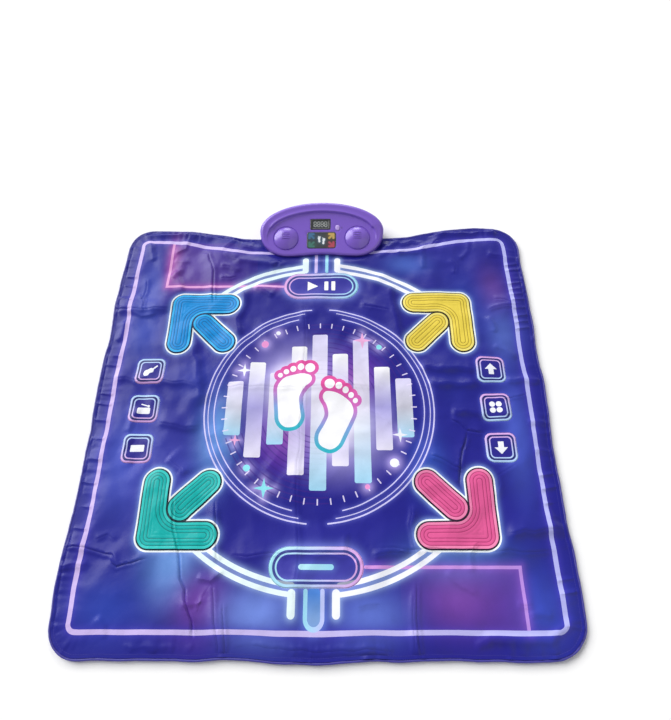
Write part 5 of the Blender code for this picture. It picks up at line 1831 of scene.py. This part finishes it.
@dataclass(frozen=True)
class StitchTree(Tree):
    """Short threads in a row along a closed path."""

    length: float
    thickness: float
    pitch: float

    def grow(self, tree: NodeTree, given: dict[str, NodeSocket]) -> NodeSocket:
        """Set a small long bead at each pitch of the path, turned along it."""
        path = add_node(tree, "GeometryNodeMeshToCurve", (given["Geometry"],))
        spots = add_node(tree, "GeometryNodeCurveToPoints", {"Curve": path, "Length": given["Pitch"]}, mode="LENGTH")
        bead = add_node(tree, "GeometryNodeMeshUVSphere", {"Segments": 6, "Rings": 4, "Radius": 0.5})
        size = add_node(tree, "ShaderNodeCombineXYZ", (given["Thickness"], given["Thickness"], given["Length"]))
        turn = add_node(tree, "FunctionNodeAlignRotationToVector", {"Vector": spots.node.outputs["Tangent"]},
                        axis="Z")
        return add_node(tree, "GeometryNodeInstanceOnPoints",
                        {"Points": spots, "Instance": bead, "Rotation": turn, "Scale": size})


@dataclass(frozen=True)
class DotTree(Tree):
    """A flat dot hanging under every point."""

    radius: float
    height: float

    def grow(self, tree: NodeTree, given: dict[str, NodeSocket]) -> NodeSocket:
        """Set a low cone with a wide flat end under each point."""
        dot = add_node(tree, "GeometryNodeMeshCone", {
            "Vertices": 8, "Radius Top": given["Radius"], "Depth": given["Height"],
            "Radius Bottom": calculate(tree, "MULTIPLY", given["Radius"], 0.75)})
        drop = add_node(tree, "ShaderNodeCombineXYZ", {2: calculate(tree, "MULTIPLY", given["Height"], -1.0)})
        hung = add_node(tree, "GeometryNodeTransform", {0: dot, "Translation": drop})
        return add_node(tree, "GeometryNodeInstanceOnPoints", {"Points": given["Geometry"], "Instance": hung})


@dataclass(frozen=True)
class SegmentTree(Tree):
    """A flat bar with pointed ends at every point, turned about the display's normal."""

    length: float
    width: float
    thickness: float
    tilt: float                      # of the display, in radians

    def grow(self, tree: NodeTree, given: dict[str, NodeSocket]) -> NodeSocket:
        """Squash a six-sided disc to a bar and set it at each point."""
        bar = add_node(tree, "GeometryNodeMeshCylinder", {"Vertices": 6, "Radius": 0.5, "Depth": 1.0})
        size = add_node(tree, "ShaderNodeCombineXYZ", (given["Length"], given["Width"], given["Thickness"]))
        turn = add_node(tree, "GeometryNodeInputNamedAttribute", {"Name": "turn"}, data_type="FLOAT")
        both = add_node(tree, "FunctionNodeRotateRotation",
                        (add_node(tree, "ShaderNodeCombineXYZ", (given["Tilt"],)),
                         add_node(tree, "ShaderNodeCombineXYZ", {2: turn})), rotation_space="LOCAL")
        return add_node(tree, "GeometryNodeInstanceOnPoints",
                        {"Points": given["Geometry"], "Instance": bar, "Rotation": both, "Scale": size})


@dataclass(frozen=True)
class ScrewTree(Tree):
    """A pan-head screw at every point, head down, with a cross recess."""

    head: float
    rise: float
    shank: float
    length: float
    recess: float

    def grow(self, tree: NodeTree, given: dict[str, NodeSocket]) -> NodeSocket:
        """Join a cut head and a shank, and set them at each point."""
        crown, arm, slim = (calculate(tree, "MULTIPLY", given["Head"], share) for share in (0.82, 1.15, 0.24))
        head = add_node(tree, "GeometryNodeMeshCone", {"Vertices": 20, "Fill Segments": 1, "Depth": given["Rise"],
                                                       "Radius Top": given["Head"], "Radius Bottom": crown})
        cross = [add_node(tree, "GeometryNodeMeshCube",
                          {"Size": add_node(tree, "ShaderNodeCombineXYZ", (*sides, given["Recess"]))})
                 for sides in ((arm, slim), (slim, arm))]
        cut = add_node(tree, "GeometryNodeMeshBoolean", {0: head, 1: cross}, operation="DIFFERENCE")
        body = add_node(tree, "GeometryNodeMeshCylinder", {"Vertices": 12, "Radius": given["Shank"],
                                                           "Depth": given["Length"]})
        half = calculate(tree, "MULTIPLY_ADD", given["Length"], 0.5, given["Rise"])
        raised = add_node(tree, "GeometryNodeTransform",
                          {0: body, "Translation": add_node(tree, "ShaderNodeCombineXYZ", {2: half})})
        both = add_node(tree, "GeometryNodeJoinGeometry", {0: [cut, raised]})
        return add_node(tree, "GeometryNodeInstanceOnPoints", {"Points": given["Geometry"], "Instance": both})


# The control unit

# The rim's fall to the face: how far before its inner end, and its share of the rim's height
RIM_FALL = ((4.2, 1.02), (3.4, 1.03), (2.7, 0.97), (2.1, 0.82), (1.6, 0.58), (1.1, 0.28), (0.5, 0.07), (-0.4, 0.0))


@dataclass(frozen=True)
class UnitShape:
    """The control unit's shells, in millimetres. The face's own frame has X across, T up its slope and Z out."""

    width: float = 296.0
    front: float = 383.0
    lobe_spacing: float = 164.0
    lobe_depth: float = 63.6
    back_depth: float = 69.4
    dent: float = 5.0
    tilt: float = 15.5
    face_front: float = 15.9         # height of the face's front end
    parting: float = 12.0
    wall: float = 2.4
    rim_width: tuple[float, float] = (9.0, 30.0)
    rim_height: float = 6.0
    edge: tuple[float, float] = (3.0, 9.0)

    @property
    def stand(self) -> Matrix:
        """The face's frame."""
        turn = Matrix.Rotation(radians(self.tilt), 4, "X")
        return Matrix.Translation((0, self.front, self.face_front)) @ turn

    def outline(self) -> Points:
        """The unit from above, counter-clockwise: an ellipse at the rear, two lobes and a dent at the front.

        Returns:
            The outline.
        """
        lobe, middle = self.lobe_spacing / 2, self.front + self.lobe_depth

        def bow(x: float, radii: Place, start: float, count: int) -> Points:
            """Part of an ellipse, without its last point."""
            angles = np.radians(start + np.arange(count) * (180 if x == 0 else 90) / count)
            return np.column_stack((x + radii[0] * np.cos(angles), middle + radii[1] * np.sin(angles)))
        share = np.arange(28) / 28
        dent = np.column_stack((self.lobe_spacing * (share - 0.5), self.front + self.dent * np.sin(pi * share) ** 2))
        side = (self.width / 2 - lobe, self.lobe_depth)
        return np.vstack((bow(0, (self.width / 2, self.back_depth), 0, 84), bow(-lobe, side, 180, 24), dent,
                          bow(lobe, side, 270, 24)))

    def height(self, y: np.ndarray) -> np.ndarray:
        """Height of the face's plane."""
        return self.face_front + (y - self.front) * tan(radians(self.tilt))

    def rim_marks(self, y: np.ndarray) -> list[tuple[np.ndarray, np.ndarray]]:
        """The rim's section at points of the outline.

        Args:
            y: how far back the points lie.

        Returns:
            From the wall to the face, how far each mark lies inwards and how high over the face's plane.
        """
        along = y - self.front
        broad = self.rim_width[0] + (self.rim_width[1] - self.rim_width[0]) * smoothstep(10, 85, along)
        high = self.rim_height * smoothstep(20, 85, along)
        edge = self.edge[0] + (self.edge[1] - self.edge[0]) * smoothstep(0, self.lobe_depth + self.back_depth, along)
        crest = edge + 0.22 * (broad - edge)
        lip = np.maximum(broad - 5.0, crest + 0.2)
        return [*((crest * (1 - cos(turn)), -edge + (edge + high) * sin(turn) ** 1.2)
                  for turn in np.radians((0, 12, 25, 38, 52, 66, 78, 90))),
                *((crest + (lip - crest) * share, high * (1 - 0.10 * sin(pi * share) - 0.02 * share))
                  for share in (0.25, 0.5, 0.75, 1.0)),
                *((broad - back, high * part) for back, part in RIM_FALL)]


@dataclass(frozen=True)
class FaceParts:
    """What sits in the unit's face: places (X, T) and sizes in millimetres."""

    display: Place = (-3.0, 78.5)
    display_size: Place = (48.0, 27.0)
    display_corner: float = 2.0
    window: Place = (39.0, 20.0)
    digit: Place = (5.6, 12.5)
    digit_pitch: float = 8.4
    panel: Place = (-0.5, 37.5)
    panel_size: Place = (69.0, 41.0)
    panel_corner: float = 6.0
    button: Place = (38.0, 69.0)
    button_size: Place = (10.0, 14.0)
    button_proud: float = 1.6
    # Radius at each height of the button's stem and flange
    button_section: tuple[Place, ...] = ((2.0, -4.8), (2.0, -4.0), (6.3, -4.0), (6.3, -2.7), (5.0, -2.7))
    sign_away: float = 10.0          # from the button's middle
    sign_radius: float = 1.7
    sign_width: float = 0.55
    speakers: tuple[Place, ...] = ((-85.0, 43.0), (85.0, 43.0))
    seat: float = 30.5
    sink: float = 1.2
    hole: float = 22.0
    dome: float = 28.5
    dome_height: float = 9.5
    dome_wall: float = 1.6
    slot: Place = (18.0, 1.2)
    slot_pitch: float = 5.0
    posts: tuple[Place, ...] = ((-44.0, 26.0), (44.0, 26.0), (-44.0, 92.0), (44.0, 92.0))
    gap: float = 0.3


@dataclass
class ControlUnit:
    """The purple unit: its face with the raised rim, the display, the light panel, the button and the speakers."""

    shape: UnitShape = UnitShape()
    parts: FaceParts = FaceParts()
    lip: float = 0.55                # rounding of the openings' edges
    bosses: tuple[Place, ...] = ((-128.0, 454.6), (128.0, 454.6), (-62.0, 500.0), (62.0, 500.0))
    boss_radius: float = 3.8
    face_pitch: float = 7.0
    face_clear: float = 3.0          # free of the face's grid beside its lines
    post: Place = (3.0, 7.0)         # radius and height of the board's posts
    segment: tuple[float, float, float] = (5.4, 1.25, 0.12)   # length, width and thickness of a digit's bar
    screw: Place = (2.8, 1.4)        # radius of a screw's head and of its shank
    foot: tuple[Place, ...] = ((5.9, 0.0), (6.5, 0.12), (6.9, 0.5), (7.0, 1.0), (7.0, 2.1))  # radius at each height

    def openings(self) -> list[Points]:
        """The face's openings, in its own frame.

        Returns:
            The display's, the panel's, the button's and the speakers' opening.
        """
        parts = self.parts
        boxes = [rounded_box(place, (size[0] + 2 * parts.gap, size[1] + 2 * parts.gap), corner + parts.gap, 1.0)
                 for place, size, corner in ((parts.display, parts.display_size, parts.display_corner),
                                             (parts.panel, parts.panel_size, parts.panel_corner))]
        return [*boxes, self.upright(parts.gap), *[disc(place, parts.hole) for place in parts.speakers]]

    def upright(self, grow: float = 0.0) -> Points:
        """Draw the button's outline.

        Args:
            grow: how far it is moved outwards.

        Returns:
            The outline.
        """
        (x, t), (wide, high) = self.parts.button, self.parts.button_size
        reach = (high - wide) / 2
        return capsule((x, t - reach), (x, t + reach), wide / 2 + grow, 0.7)

    def sink(self, points: Points) -> np.ndarray:
        """Sink the speakers' seats and round the edges of the openings.

        Args:
            points: where.

        Returns:
            The rise over the face's plane at each point.
        """
        height = np.zeros(len(points))
        for place in self.parts.speakers:
            away = norm(points - place, axis=1)
            height -= self.parts.sink * (1 - smoothstep(self.parts.seat - 0.35, self.parts.seat + 0.45, away))
        for opening in self.openings()[:3]:
            away = follow(points, opening)[0]
            height -= 0.4 * np.clip(1 - away / self.lip, 0, 1) ** 2
        return height

    def face(self) -> None:
        """The upper shell: the rim's rings, the face inside them, and the posts under it."""
        shape, outline = self.shape, self.shape.outline()
        rings = [np.column_stack((grown(outline, -inset), np.full(len(outline), level)))
                 for inset, level in ((0.3, shape.parting), (0.0, shape.parting + 0.4))]
        for inset, lift in shape.rim_marks(outline[:, 1]):
            plan = grown(outline, -np.broadcast_to(inset, len(outline)))
            rings.append(np.column_stack((plan, shape.height(plan[:, 1]) + lift)))
        inner = rings[-1][:, :2].copy()
        inner[:, 1] = (inner[:, 1] - shape.front) / cos(radians(shape.tilt))
        holes = self.openings()
        lines = [grown(hole, reach) for hole in holes[:3] for reach in (0.4 * self.lip, self.lip)]
        lines += [disc(place, self.parts.seat + reach) for place in self.parts.speakers
                  for reach in (-0.4, -0.1, 0.2, 0.5)]
        grid = hexagons(inner.min(axis=0), inner.max(axis=0), self.face_pitch)
        grid = grid[~near(grid, np.vstack((inner, *holes, *lines)), self.face_clear)]
        flat, triangles = triangulate(inner, holes, lines, grid)
        level = stood(np.column_stack((flat, self.sink(flat))), shape.stand)
        faces = [*ring_faces(len(outline), len(rings)), *(triangles + len(rings) * len(outline)).tolist()]
        made = piece("face_shell_skin", np.vstack((*rings, level)), faces, FACE_ABS)
        with edited(made) as body:
            bmesh.ops.remove_doubles(body, verts=body.verts, dist=0.02 * MM)
        wall = made.modifiers.new("wall", "SOLIDIFY")
        wall.thickness, wall.offset = shape.wall * MM, -1
        flatten(made)
        self.add_posts(made)
        settled(made, "mat", "purple_abs", "face_shell")

    def add_posts(self, made: Object) -> None:
        """Add the four screw bosses and the board's four posts to the shell.

        Args:
            made: the shell.
        """
        stand = self.shape.stand
        stand.translation *= MM
        with edited(made) as body:
            for x, y in self.bosses:
                low, high = self.shape.parting - 2, float(self.shape.height(np.float64(y))) - 1
                add_post(body, 20, self.boss_radius, high - low, Matrix(), (x, y, (low + high) / 2))
            for x, t in self.parts.posts:
                add_post(body, 16, *self.post, stand, (x, t, -4.6))

    def dome_height(self, points: Points, inside_wall: bool = False) -> np.ndarray:
        """Shape the speaker covers.

        Args:
            points: where.
            inside_wall: whether their inside is wanted.

        Returns:
            The height over the face's plane at each point.
        """
        parts = self.parts
        rise = parts.dome_height - parts.sink / 2
        ball = (parts.dome ** 2 + rise ** 2) / (2 * rise)
        away = np.min([norm(points - place, axis=1) for place in parts.speakers], axis=0)
        if not inside_wall:
            height = parts.dome_height - ball + np.sqrt(ball ** 2 - np.minimum(away, parts.dome) ** 2)
            return height - 0.5 * np.clip((away - parts.dome + 0.8) / 0.8, 0, 1) ** 2
        ball -= parts.dome_wall
        reach = parts.dome - parts.dome_wall
        height = parts.dome_height - parts.dome_wall - ball + np.sqrt(ball ** 2 - np.minimum(away, reach) ** 2)
        return np.where(away > reach - 0.05, parts.gap - parts.sink, height)

    def speaker_covers(self) -> None:
        """The two domed covers with their sound slots."""
        parts = self.parts
        half = parts.slot[0] / 2
        for side, (x, t) in zip(("left", "right"), parts.speakers):
            slots = [capsule((x - half, level), (x + half, level), parts.slot[1] / 2, 0.6)
                     for level in (t + parts.slot_pitch * (k - 1) for k in range(4))]
            rings = [disc((x, t), parts.dome - back, 1.2) for back in (0.4, 0.8, parts.dome_wall, 2.6)]
            cover = Plate("speaker_cover_" + side + "_skin", FACE_ABS, disc((x, t), parts.dome, 1.2), self.dome_height,
                          lambda points: self.dome_height(points, True), 2.2, holes=slots, lines=rings,
                          stand=self.shape.stand).build()
            settled(cover, "mat", "purple_abs", "speaker_cover_" + side)

    def bezel(self) -> None:
        """The display's polished frame, rounded outside and sloping to the window inside."""
        outer = rounded_box(self.parts.display, self.parts.display_size, 3.2, 0.8)
        window = rounded_box(self.parts.display, self.parts.window, 1.0, 0.8)

        def top(points: Points) -> np.ndarray:
            """Height of the frame."""
            out, into = follow(points, outer)[0], follow(points, window)[0]
            return 0.9 - 0.7 * np.clip(1 - out / 1.0, 0, 1) ** 2 - 0.8 * np.clip(1 - into / 1.6, 0, 1)
        lines = [spaced(grown(outer, -0.35), 2), spaced(grown(outer, -1.0), 2), spaced(grown(window, 1.6), 2)]
        made = Plate("display_frame", GLOSS_ABS, spaced(outer, 2), top, -self.shape.wall, 2.5,
                     holes=[spaced(window, 2)], lines=lines, stand=self.shape.stand).build()
        settled(made, "mat", "bezel", "display_bezel")

    def digits(self) -> None:
        """The four seven-segment digits on the display."""
        (wide, high), (x0, t0) = self.parts.digit, self.parts.display
        across, along = wide / 2, high / 4
        segments = ((0, high / 2, 0), (0, 0, 0), (0, -high / 2, 0), (-across, along, 90), (across, along, 90),
                    (-across, -along, 90), (across, -along, 90))
        spots = [(x0 + (place - 1.5) * self.parts.digit_pitch + dx, t0 + dt, 0.08)
                 for place in range(4) for dx, dt, _ in segments]
        made = wired("display_digits", stood(spots, self.shape.stand))
        layer = made.data.attributes.new("turn", "FLOAT", "POINT")
        layer.data.foreach_set("value", [radians(turn) for _ in range(4) for _, _, turn in segments])
        SegmentTree(*(size * MM for size in self.segment), radians(self.shape.tilt)).apply(made, DIGIT_FILM)
        settled(made, "mat", "display_glass")

    def panel_print(self) -> Artwork:
        """The light panel's film: four small arrows and two footprints on near black, with painted glow of the lamps
        under it.

        Returns:
            The artwork.
        """
        x, t = self.parts.panel
        # The clouds are painted glow: soft coloured light round each arrow and in the middle, as of lamps shining
        # through the film.
        art = Artwork("#0C161E", (Cloud((x - 22, t + 10), (12, 10), "#1C4A6C", 0.8),
                                  Cloud((x - 22, t - 11), (13, 9), "#1B5A50", 0.7),
                                  Cloud((x, t), (9, 16), "#2E4450", 0.7),
                                  Cloud((x + 23, t + 11), (10, 8), "#7A6426", 0.7),
                                  Cloud((x + 23, t - 11), (10, 8), "#74203A", 0.7)))
        arrow = ArrowShape()
        scale = 15.0 / arrow.arm
        for sx, st, body, line in ((-1, 1, "#2A6A96", "#143F5E"), (1, 1, "#C8A654", "#7E6420"),
                                   (-1, -1, "#2A7064", "#124A40"), (1, -1, "#B43650", "#6C1A2C")):
            for loop, ink in ((arrow.whole(8), line), (arrow.whole(), body)):
                points = (arrow.arm / 2 - loop) * scale * (sx, st) + (x + sx * 23.5, t + st * 10.5)
                art.add(points if sx == st else points[::-1], ink, step=2.0)
        for side, turn in ((-5.2, 4), (5.2, -8)):
            foot = smooth_loop(((0, -8), (2.4, -6), (1.8, -1), (3.2, 3), (2.4, 6), (-2.2, 5.6), (-3.2, 2), (-2.2, -2),
                                (-2.4, -6)), 5)
            art.add(moved(foot, (x + side, t + side * -0.45), turn), "#F2F6FA", Glow("#5A86A0", 2.0, 0.5), 1.0)
            for k in range(4):
                art.add(moved(disc((0, 0), 0.95, 0.5), (x + side + 1.8 * k - 2.6, t - 0.45 * side + 7.6 - 0.4 * k)),
                        "#F2F6FA", step=1.0)
        return art

    def panel(self) -> None:
        """The dark glossy panel with its printed film."""
        outline = spaced(rounded_box(self.parts.panel, self.parts.panel_size, self.parts.panel_corner, 0.9), 1.5)

        def top(points: Points) -> np.ndarray:
            """Height of the panel, rounded at its edge."""
            return 0.4 - 0.3 * np.clip(1 - follow(points, outline)[0] / 0.7, 0, 1) ** 2
        made = Plate("light_panel", SMOKED_ACRYLIC, outline, top, -1.6, 1.6, art=self.panel_print(),
                     lines=[grown(outline, -0.3), grown(outline, -0.7)], stand=self.shape.stand).build()
        settled(made, "mat", "smoked_window", "panel_window")

    def button(self) -> None:
        """The domed oval button with its flange and stem."""
        proud, (wide, high) = self.parts.button_proud, self.parts.button_size
        dome = [(wide / 2 * cos(turn) ** 0.75, proud * (0.4 + 0.6 * sin(turn)))
                for turn in np.radians((0, 20, 40, 58, 74, 86))]
        rings = [level_ring(self.parts.button, radius, level, (high - wide) / 2 * min(1, 2 * radius / wide))
                 for radius, level in (*self.parts.button_section, *dome)]
        made = lofted("oval_button", rings, BUTTON_ABS, self.shape.stand)
        settled(made, "power_button", "purple_abs", "power_button")

    def sign(self) -> None:
        """The small on-off sign beside the button: a ring open at the top, with a bar in the opening."""
        x, t, width = self.parts.button[0] + self.parts.sign_away, self.parts.button[1], self.parts.sign_width
        ring = stroke(arc((x, t), self.parts.sign_radius, 125, 415, 0.5), width)
        bar = stroke(((x, t + 0.3), (x, t + 2.5)), width)
        made, other = (Plate(name, SIGN_INK, loop, lambda points: np.full(len(points), 0.06), -0.02, 5.0,
                             stand=self.shape.stand).build()
                       for name, loop in (("on_off_sign", ring), ("on_off_bar", bar)))
        with edited(made) as body:
            body.from_mesh(other.data)
        bpy.data.objects.remove(other)
        settled(made, "mat", "purple_abs")

    def feet(self) -> None:
        """The two rubber feet at the rear, with rounded lower edges."""
        for node in ("rubber_foot_left", "rubber_foot_right"):
            rings = [level_ring(middle_of(node), radius, level) for radius, level in self.foot]
            settled(lofted(node + "_round", rings, FOOT_RUBBER), "mat", "foot_rubber", node)

    def screws(self) -> None:
        """The shell's and the clamp's screws and the battery door's screw, each set one mesh on its body."""
        for name, body, nodes, length, rise in (
                ("shell_screws", "mat", ("shell_screw_left", "shell_screw_right", "shell_screw_rear_left",
                                         "shell_screw_rear_right"), 17.0, 1.1),
                ("clamp_screws", "mat", ("clamp_screw_left", "clamp_screw_right"), 6.6, 1.1),
                ("door_screw", "battery_door", ("battery_door_screw",), 8.0, 0.8)):
            screws = wired(name, [(*middle_of(node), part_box(node)[0].z / MM) for node in nodes])
            head, shank = self.screw
            ScrewTree(*(size * MM for size in (head, rise, shank, length, 0.9 * rise))).apply(screws, ZINC_STEEL)
            settled(screws, body, "screw_steel", *nodes)

    def build(self) -> None:
        """Make every piece of the unit."""
        for make in (self.face, self.speaker_covers, self.bezel, self.digits, self.panel, self.button, self.sign,
                     self.feet, self.screws):
            make()


# The studio

@dataclass(frozen=True)
class Lamp:
    """A far lamp."""

    name: str
    strength: float                  # its light on a surface that faces it
    spread: float                    # its width in degrees
    lean: float                      # its angle from overhead, in degrees
    turn: float                      # where it stands, in degrees from the rear towards the left

    def hang(self) -> None:
        """Add the lamp to the scene."""
        data = bpy.data.lights.new(self.name, "SUN")
        data.energy, data.angle = self.strength, radians(self.spread)
        shown(self.name, data).rotation_euler = (-radians(self.lean), 0, radians(self.turn))


@dataclass(frozen=True)
class Studio:
    """Camera, lamps and floor."""

    place: tuple[float, float, float] = (0.054, -0.463, 1.091)
    focal_pixels: float = 568.5
    frame_height: float = 720.0
    pitch: float = 62.26             # degrees below the horizon
    yaw: float = -2.05
    roll: float = -2.12
    sensor: float = 36.0
    lamps: tuple[Lamp, ...] = (Lamp("key", 3.3, 48, 56, 54), Lamp("side", 0.45, 60, 48, -125),
                               Lamp("rear", 0.9, 24, 64, 2))
    sky: float = 0.23                # the world's light on the object
    floor_size: float = 14.0

    def camera(self) -> None:
        """Set the camera at the photograph's place."""
        pitch, yaw, roll = (radians(angle) for angle in (self.pitch, self.yaw, self.roll))
        forward = Vector((sin(yaw) * cos(pitch), cos(yaw) * cos(pitch), -sin(pitch)))
        right = Vector((cos(yaw), -sin(yaw), 0))
        up = right.cross(forward)
        across = right * cos(roll) + up * sin(roll)
        along = up * cos(roll) - right * sin(roll)
        data = bpy.data.cameras.new("photograph")
        data.sensor_width = self.sensor
        data.lens = self.focal_pixels / self.frame_height * self.sensor
        data.clip_start, data.clip_end = 0.01, 50
        made = shown("photograph", data)
        turn = Matrix((across, along, -forward)).transposed()
        made.matrix_world = Matrix.Translation(self.place) @ turn.to_4x4()
        bpy.context.scene.camera = made

    def light(self) -> None:
        """Hang the lamps, and make the world plain white where it is seen."""
        for lamp in self.lamps:
            lamp.hang()
        world = bpy.data.worlds.new("studio")
        bpy.context.scene.world = world
        world.use_nodes = True
        tree = world.node_tree
        seen = add_node(tree, "ShaderNodeLightPath", output="Is Camera Ray")
        for ray in ("Is Transmission Ray", "Is Glossy Ray"):
            seen = calculate(tree, "MAXIMUM", seen, add_node(tree, "ShaderNodeLightPath", output=ray))
        strength = add_node(tree, "ShaderNodeMapRange", {"Value": seen, "To Min": self.sky, "To Max": 1.0})
        feed(tree.nodes["Background"], {"Color": (1, 1, 1, 1), "Strength": strength})

    def floor(self) -> None:
        """Lay the pale floor."""
        half = self.floor_size / 2 / MM
        corners = np.array(((-half, -half, 0), (half, -half, 0), (half, half, 0), (-half, half, 0)))
        made = piece("floor", corners, [(0, 1, 2, 3)], FLOOR_PAINT)
        made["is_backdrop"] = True

    def build(self) -> None:
        """Make all three and choose the plain view transform."""
        self.camera()
        self.light()
        self.floor()
        bpy.context.scene.view_settings.view_transform = "Standard"


CARRIED_OVER = {
    FOAM: ("spacer_foam", "padding_foam"),
    CIRCUIT_FILM: ("lower_circuit_film", "upper_circuit_film", "membrane_tail", "panel_film"),
    WEBBING: ("mat_tab",),
    BASE_ABS: ("base_shell", "battery_door"),
    LAMINATE: ("main_board",),
    BLACK_POLYAMIDE: ("clamp_bar", "tact_switch"),
    LAMP_EPOXY: ("led_centre", "led_rear_left", "led_rear_right", "led_front_left", "led_front_right"),
    PRESSED_STEEL: ("speaker_left", "speaker_right"),
    NICKEL_STEEL: ("battery_contact_left", "battery_contact_right"),
    CELL_LABEL: ("battery_1", "battery_2", "battery_3"),
    FACE_ABS: ("face_shell", "speaker_cover_left", "speaker_cover_right"),
    BUTTON_ABS: ("power_button",),
    GLOSS_ABS: ("display_bezel",),
    DISPLAY_FILM: ("display_module",),
    FOOT_RUBBER: ("rubber_foot_left", "rubber_foot_right"),
    ZINC_STEEL: ("shell_screw_left", "shell_screw_right", "shell_screw_rear_left", "shell_screw_rear_right",
                 "clamp_screw_left", "clamp_screw_right", "battery_door_screw", "board_screw_left",
                 "board_screw_right"),
}


def dress_carried_over() -> None:
    """Give every CAD node that is kept its finish."""
    for finish, nodes in CARRIED_OVER.items():
        for node in nodes:
            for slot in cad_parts[node].material_slots:
                slot.material = finish.material()


def write_sizes() -> None:
    """Work out the CAD box and the finished object's box, which are then dropped."""
    boxes = {name: [list(corner) for corner in box] for name, box in (("cad", CAD_BOX), ("scene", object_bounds()))}


def main() -> None:
    """Build the studio, the mat and the control unit."""
    logging.basicConfig(level=logging.INFO, format="%(asctime)s %(name)s: %(message)s")
    Studio().build()
    dress_carried_over()
    ControlUnit().build()
    DanceMat().build()
    write_sizes()


if __name__ == "__main__":
    main()
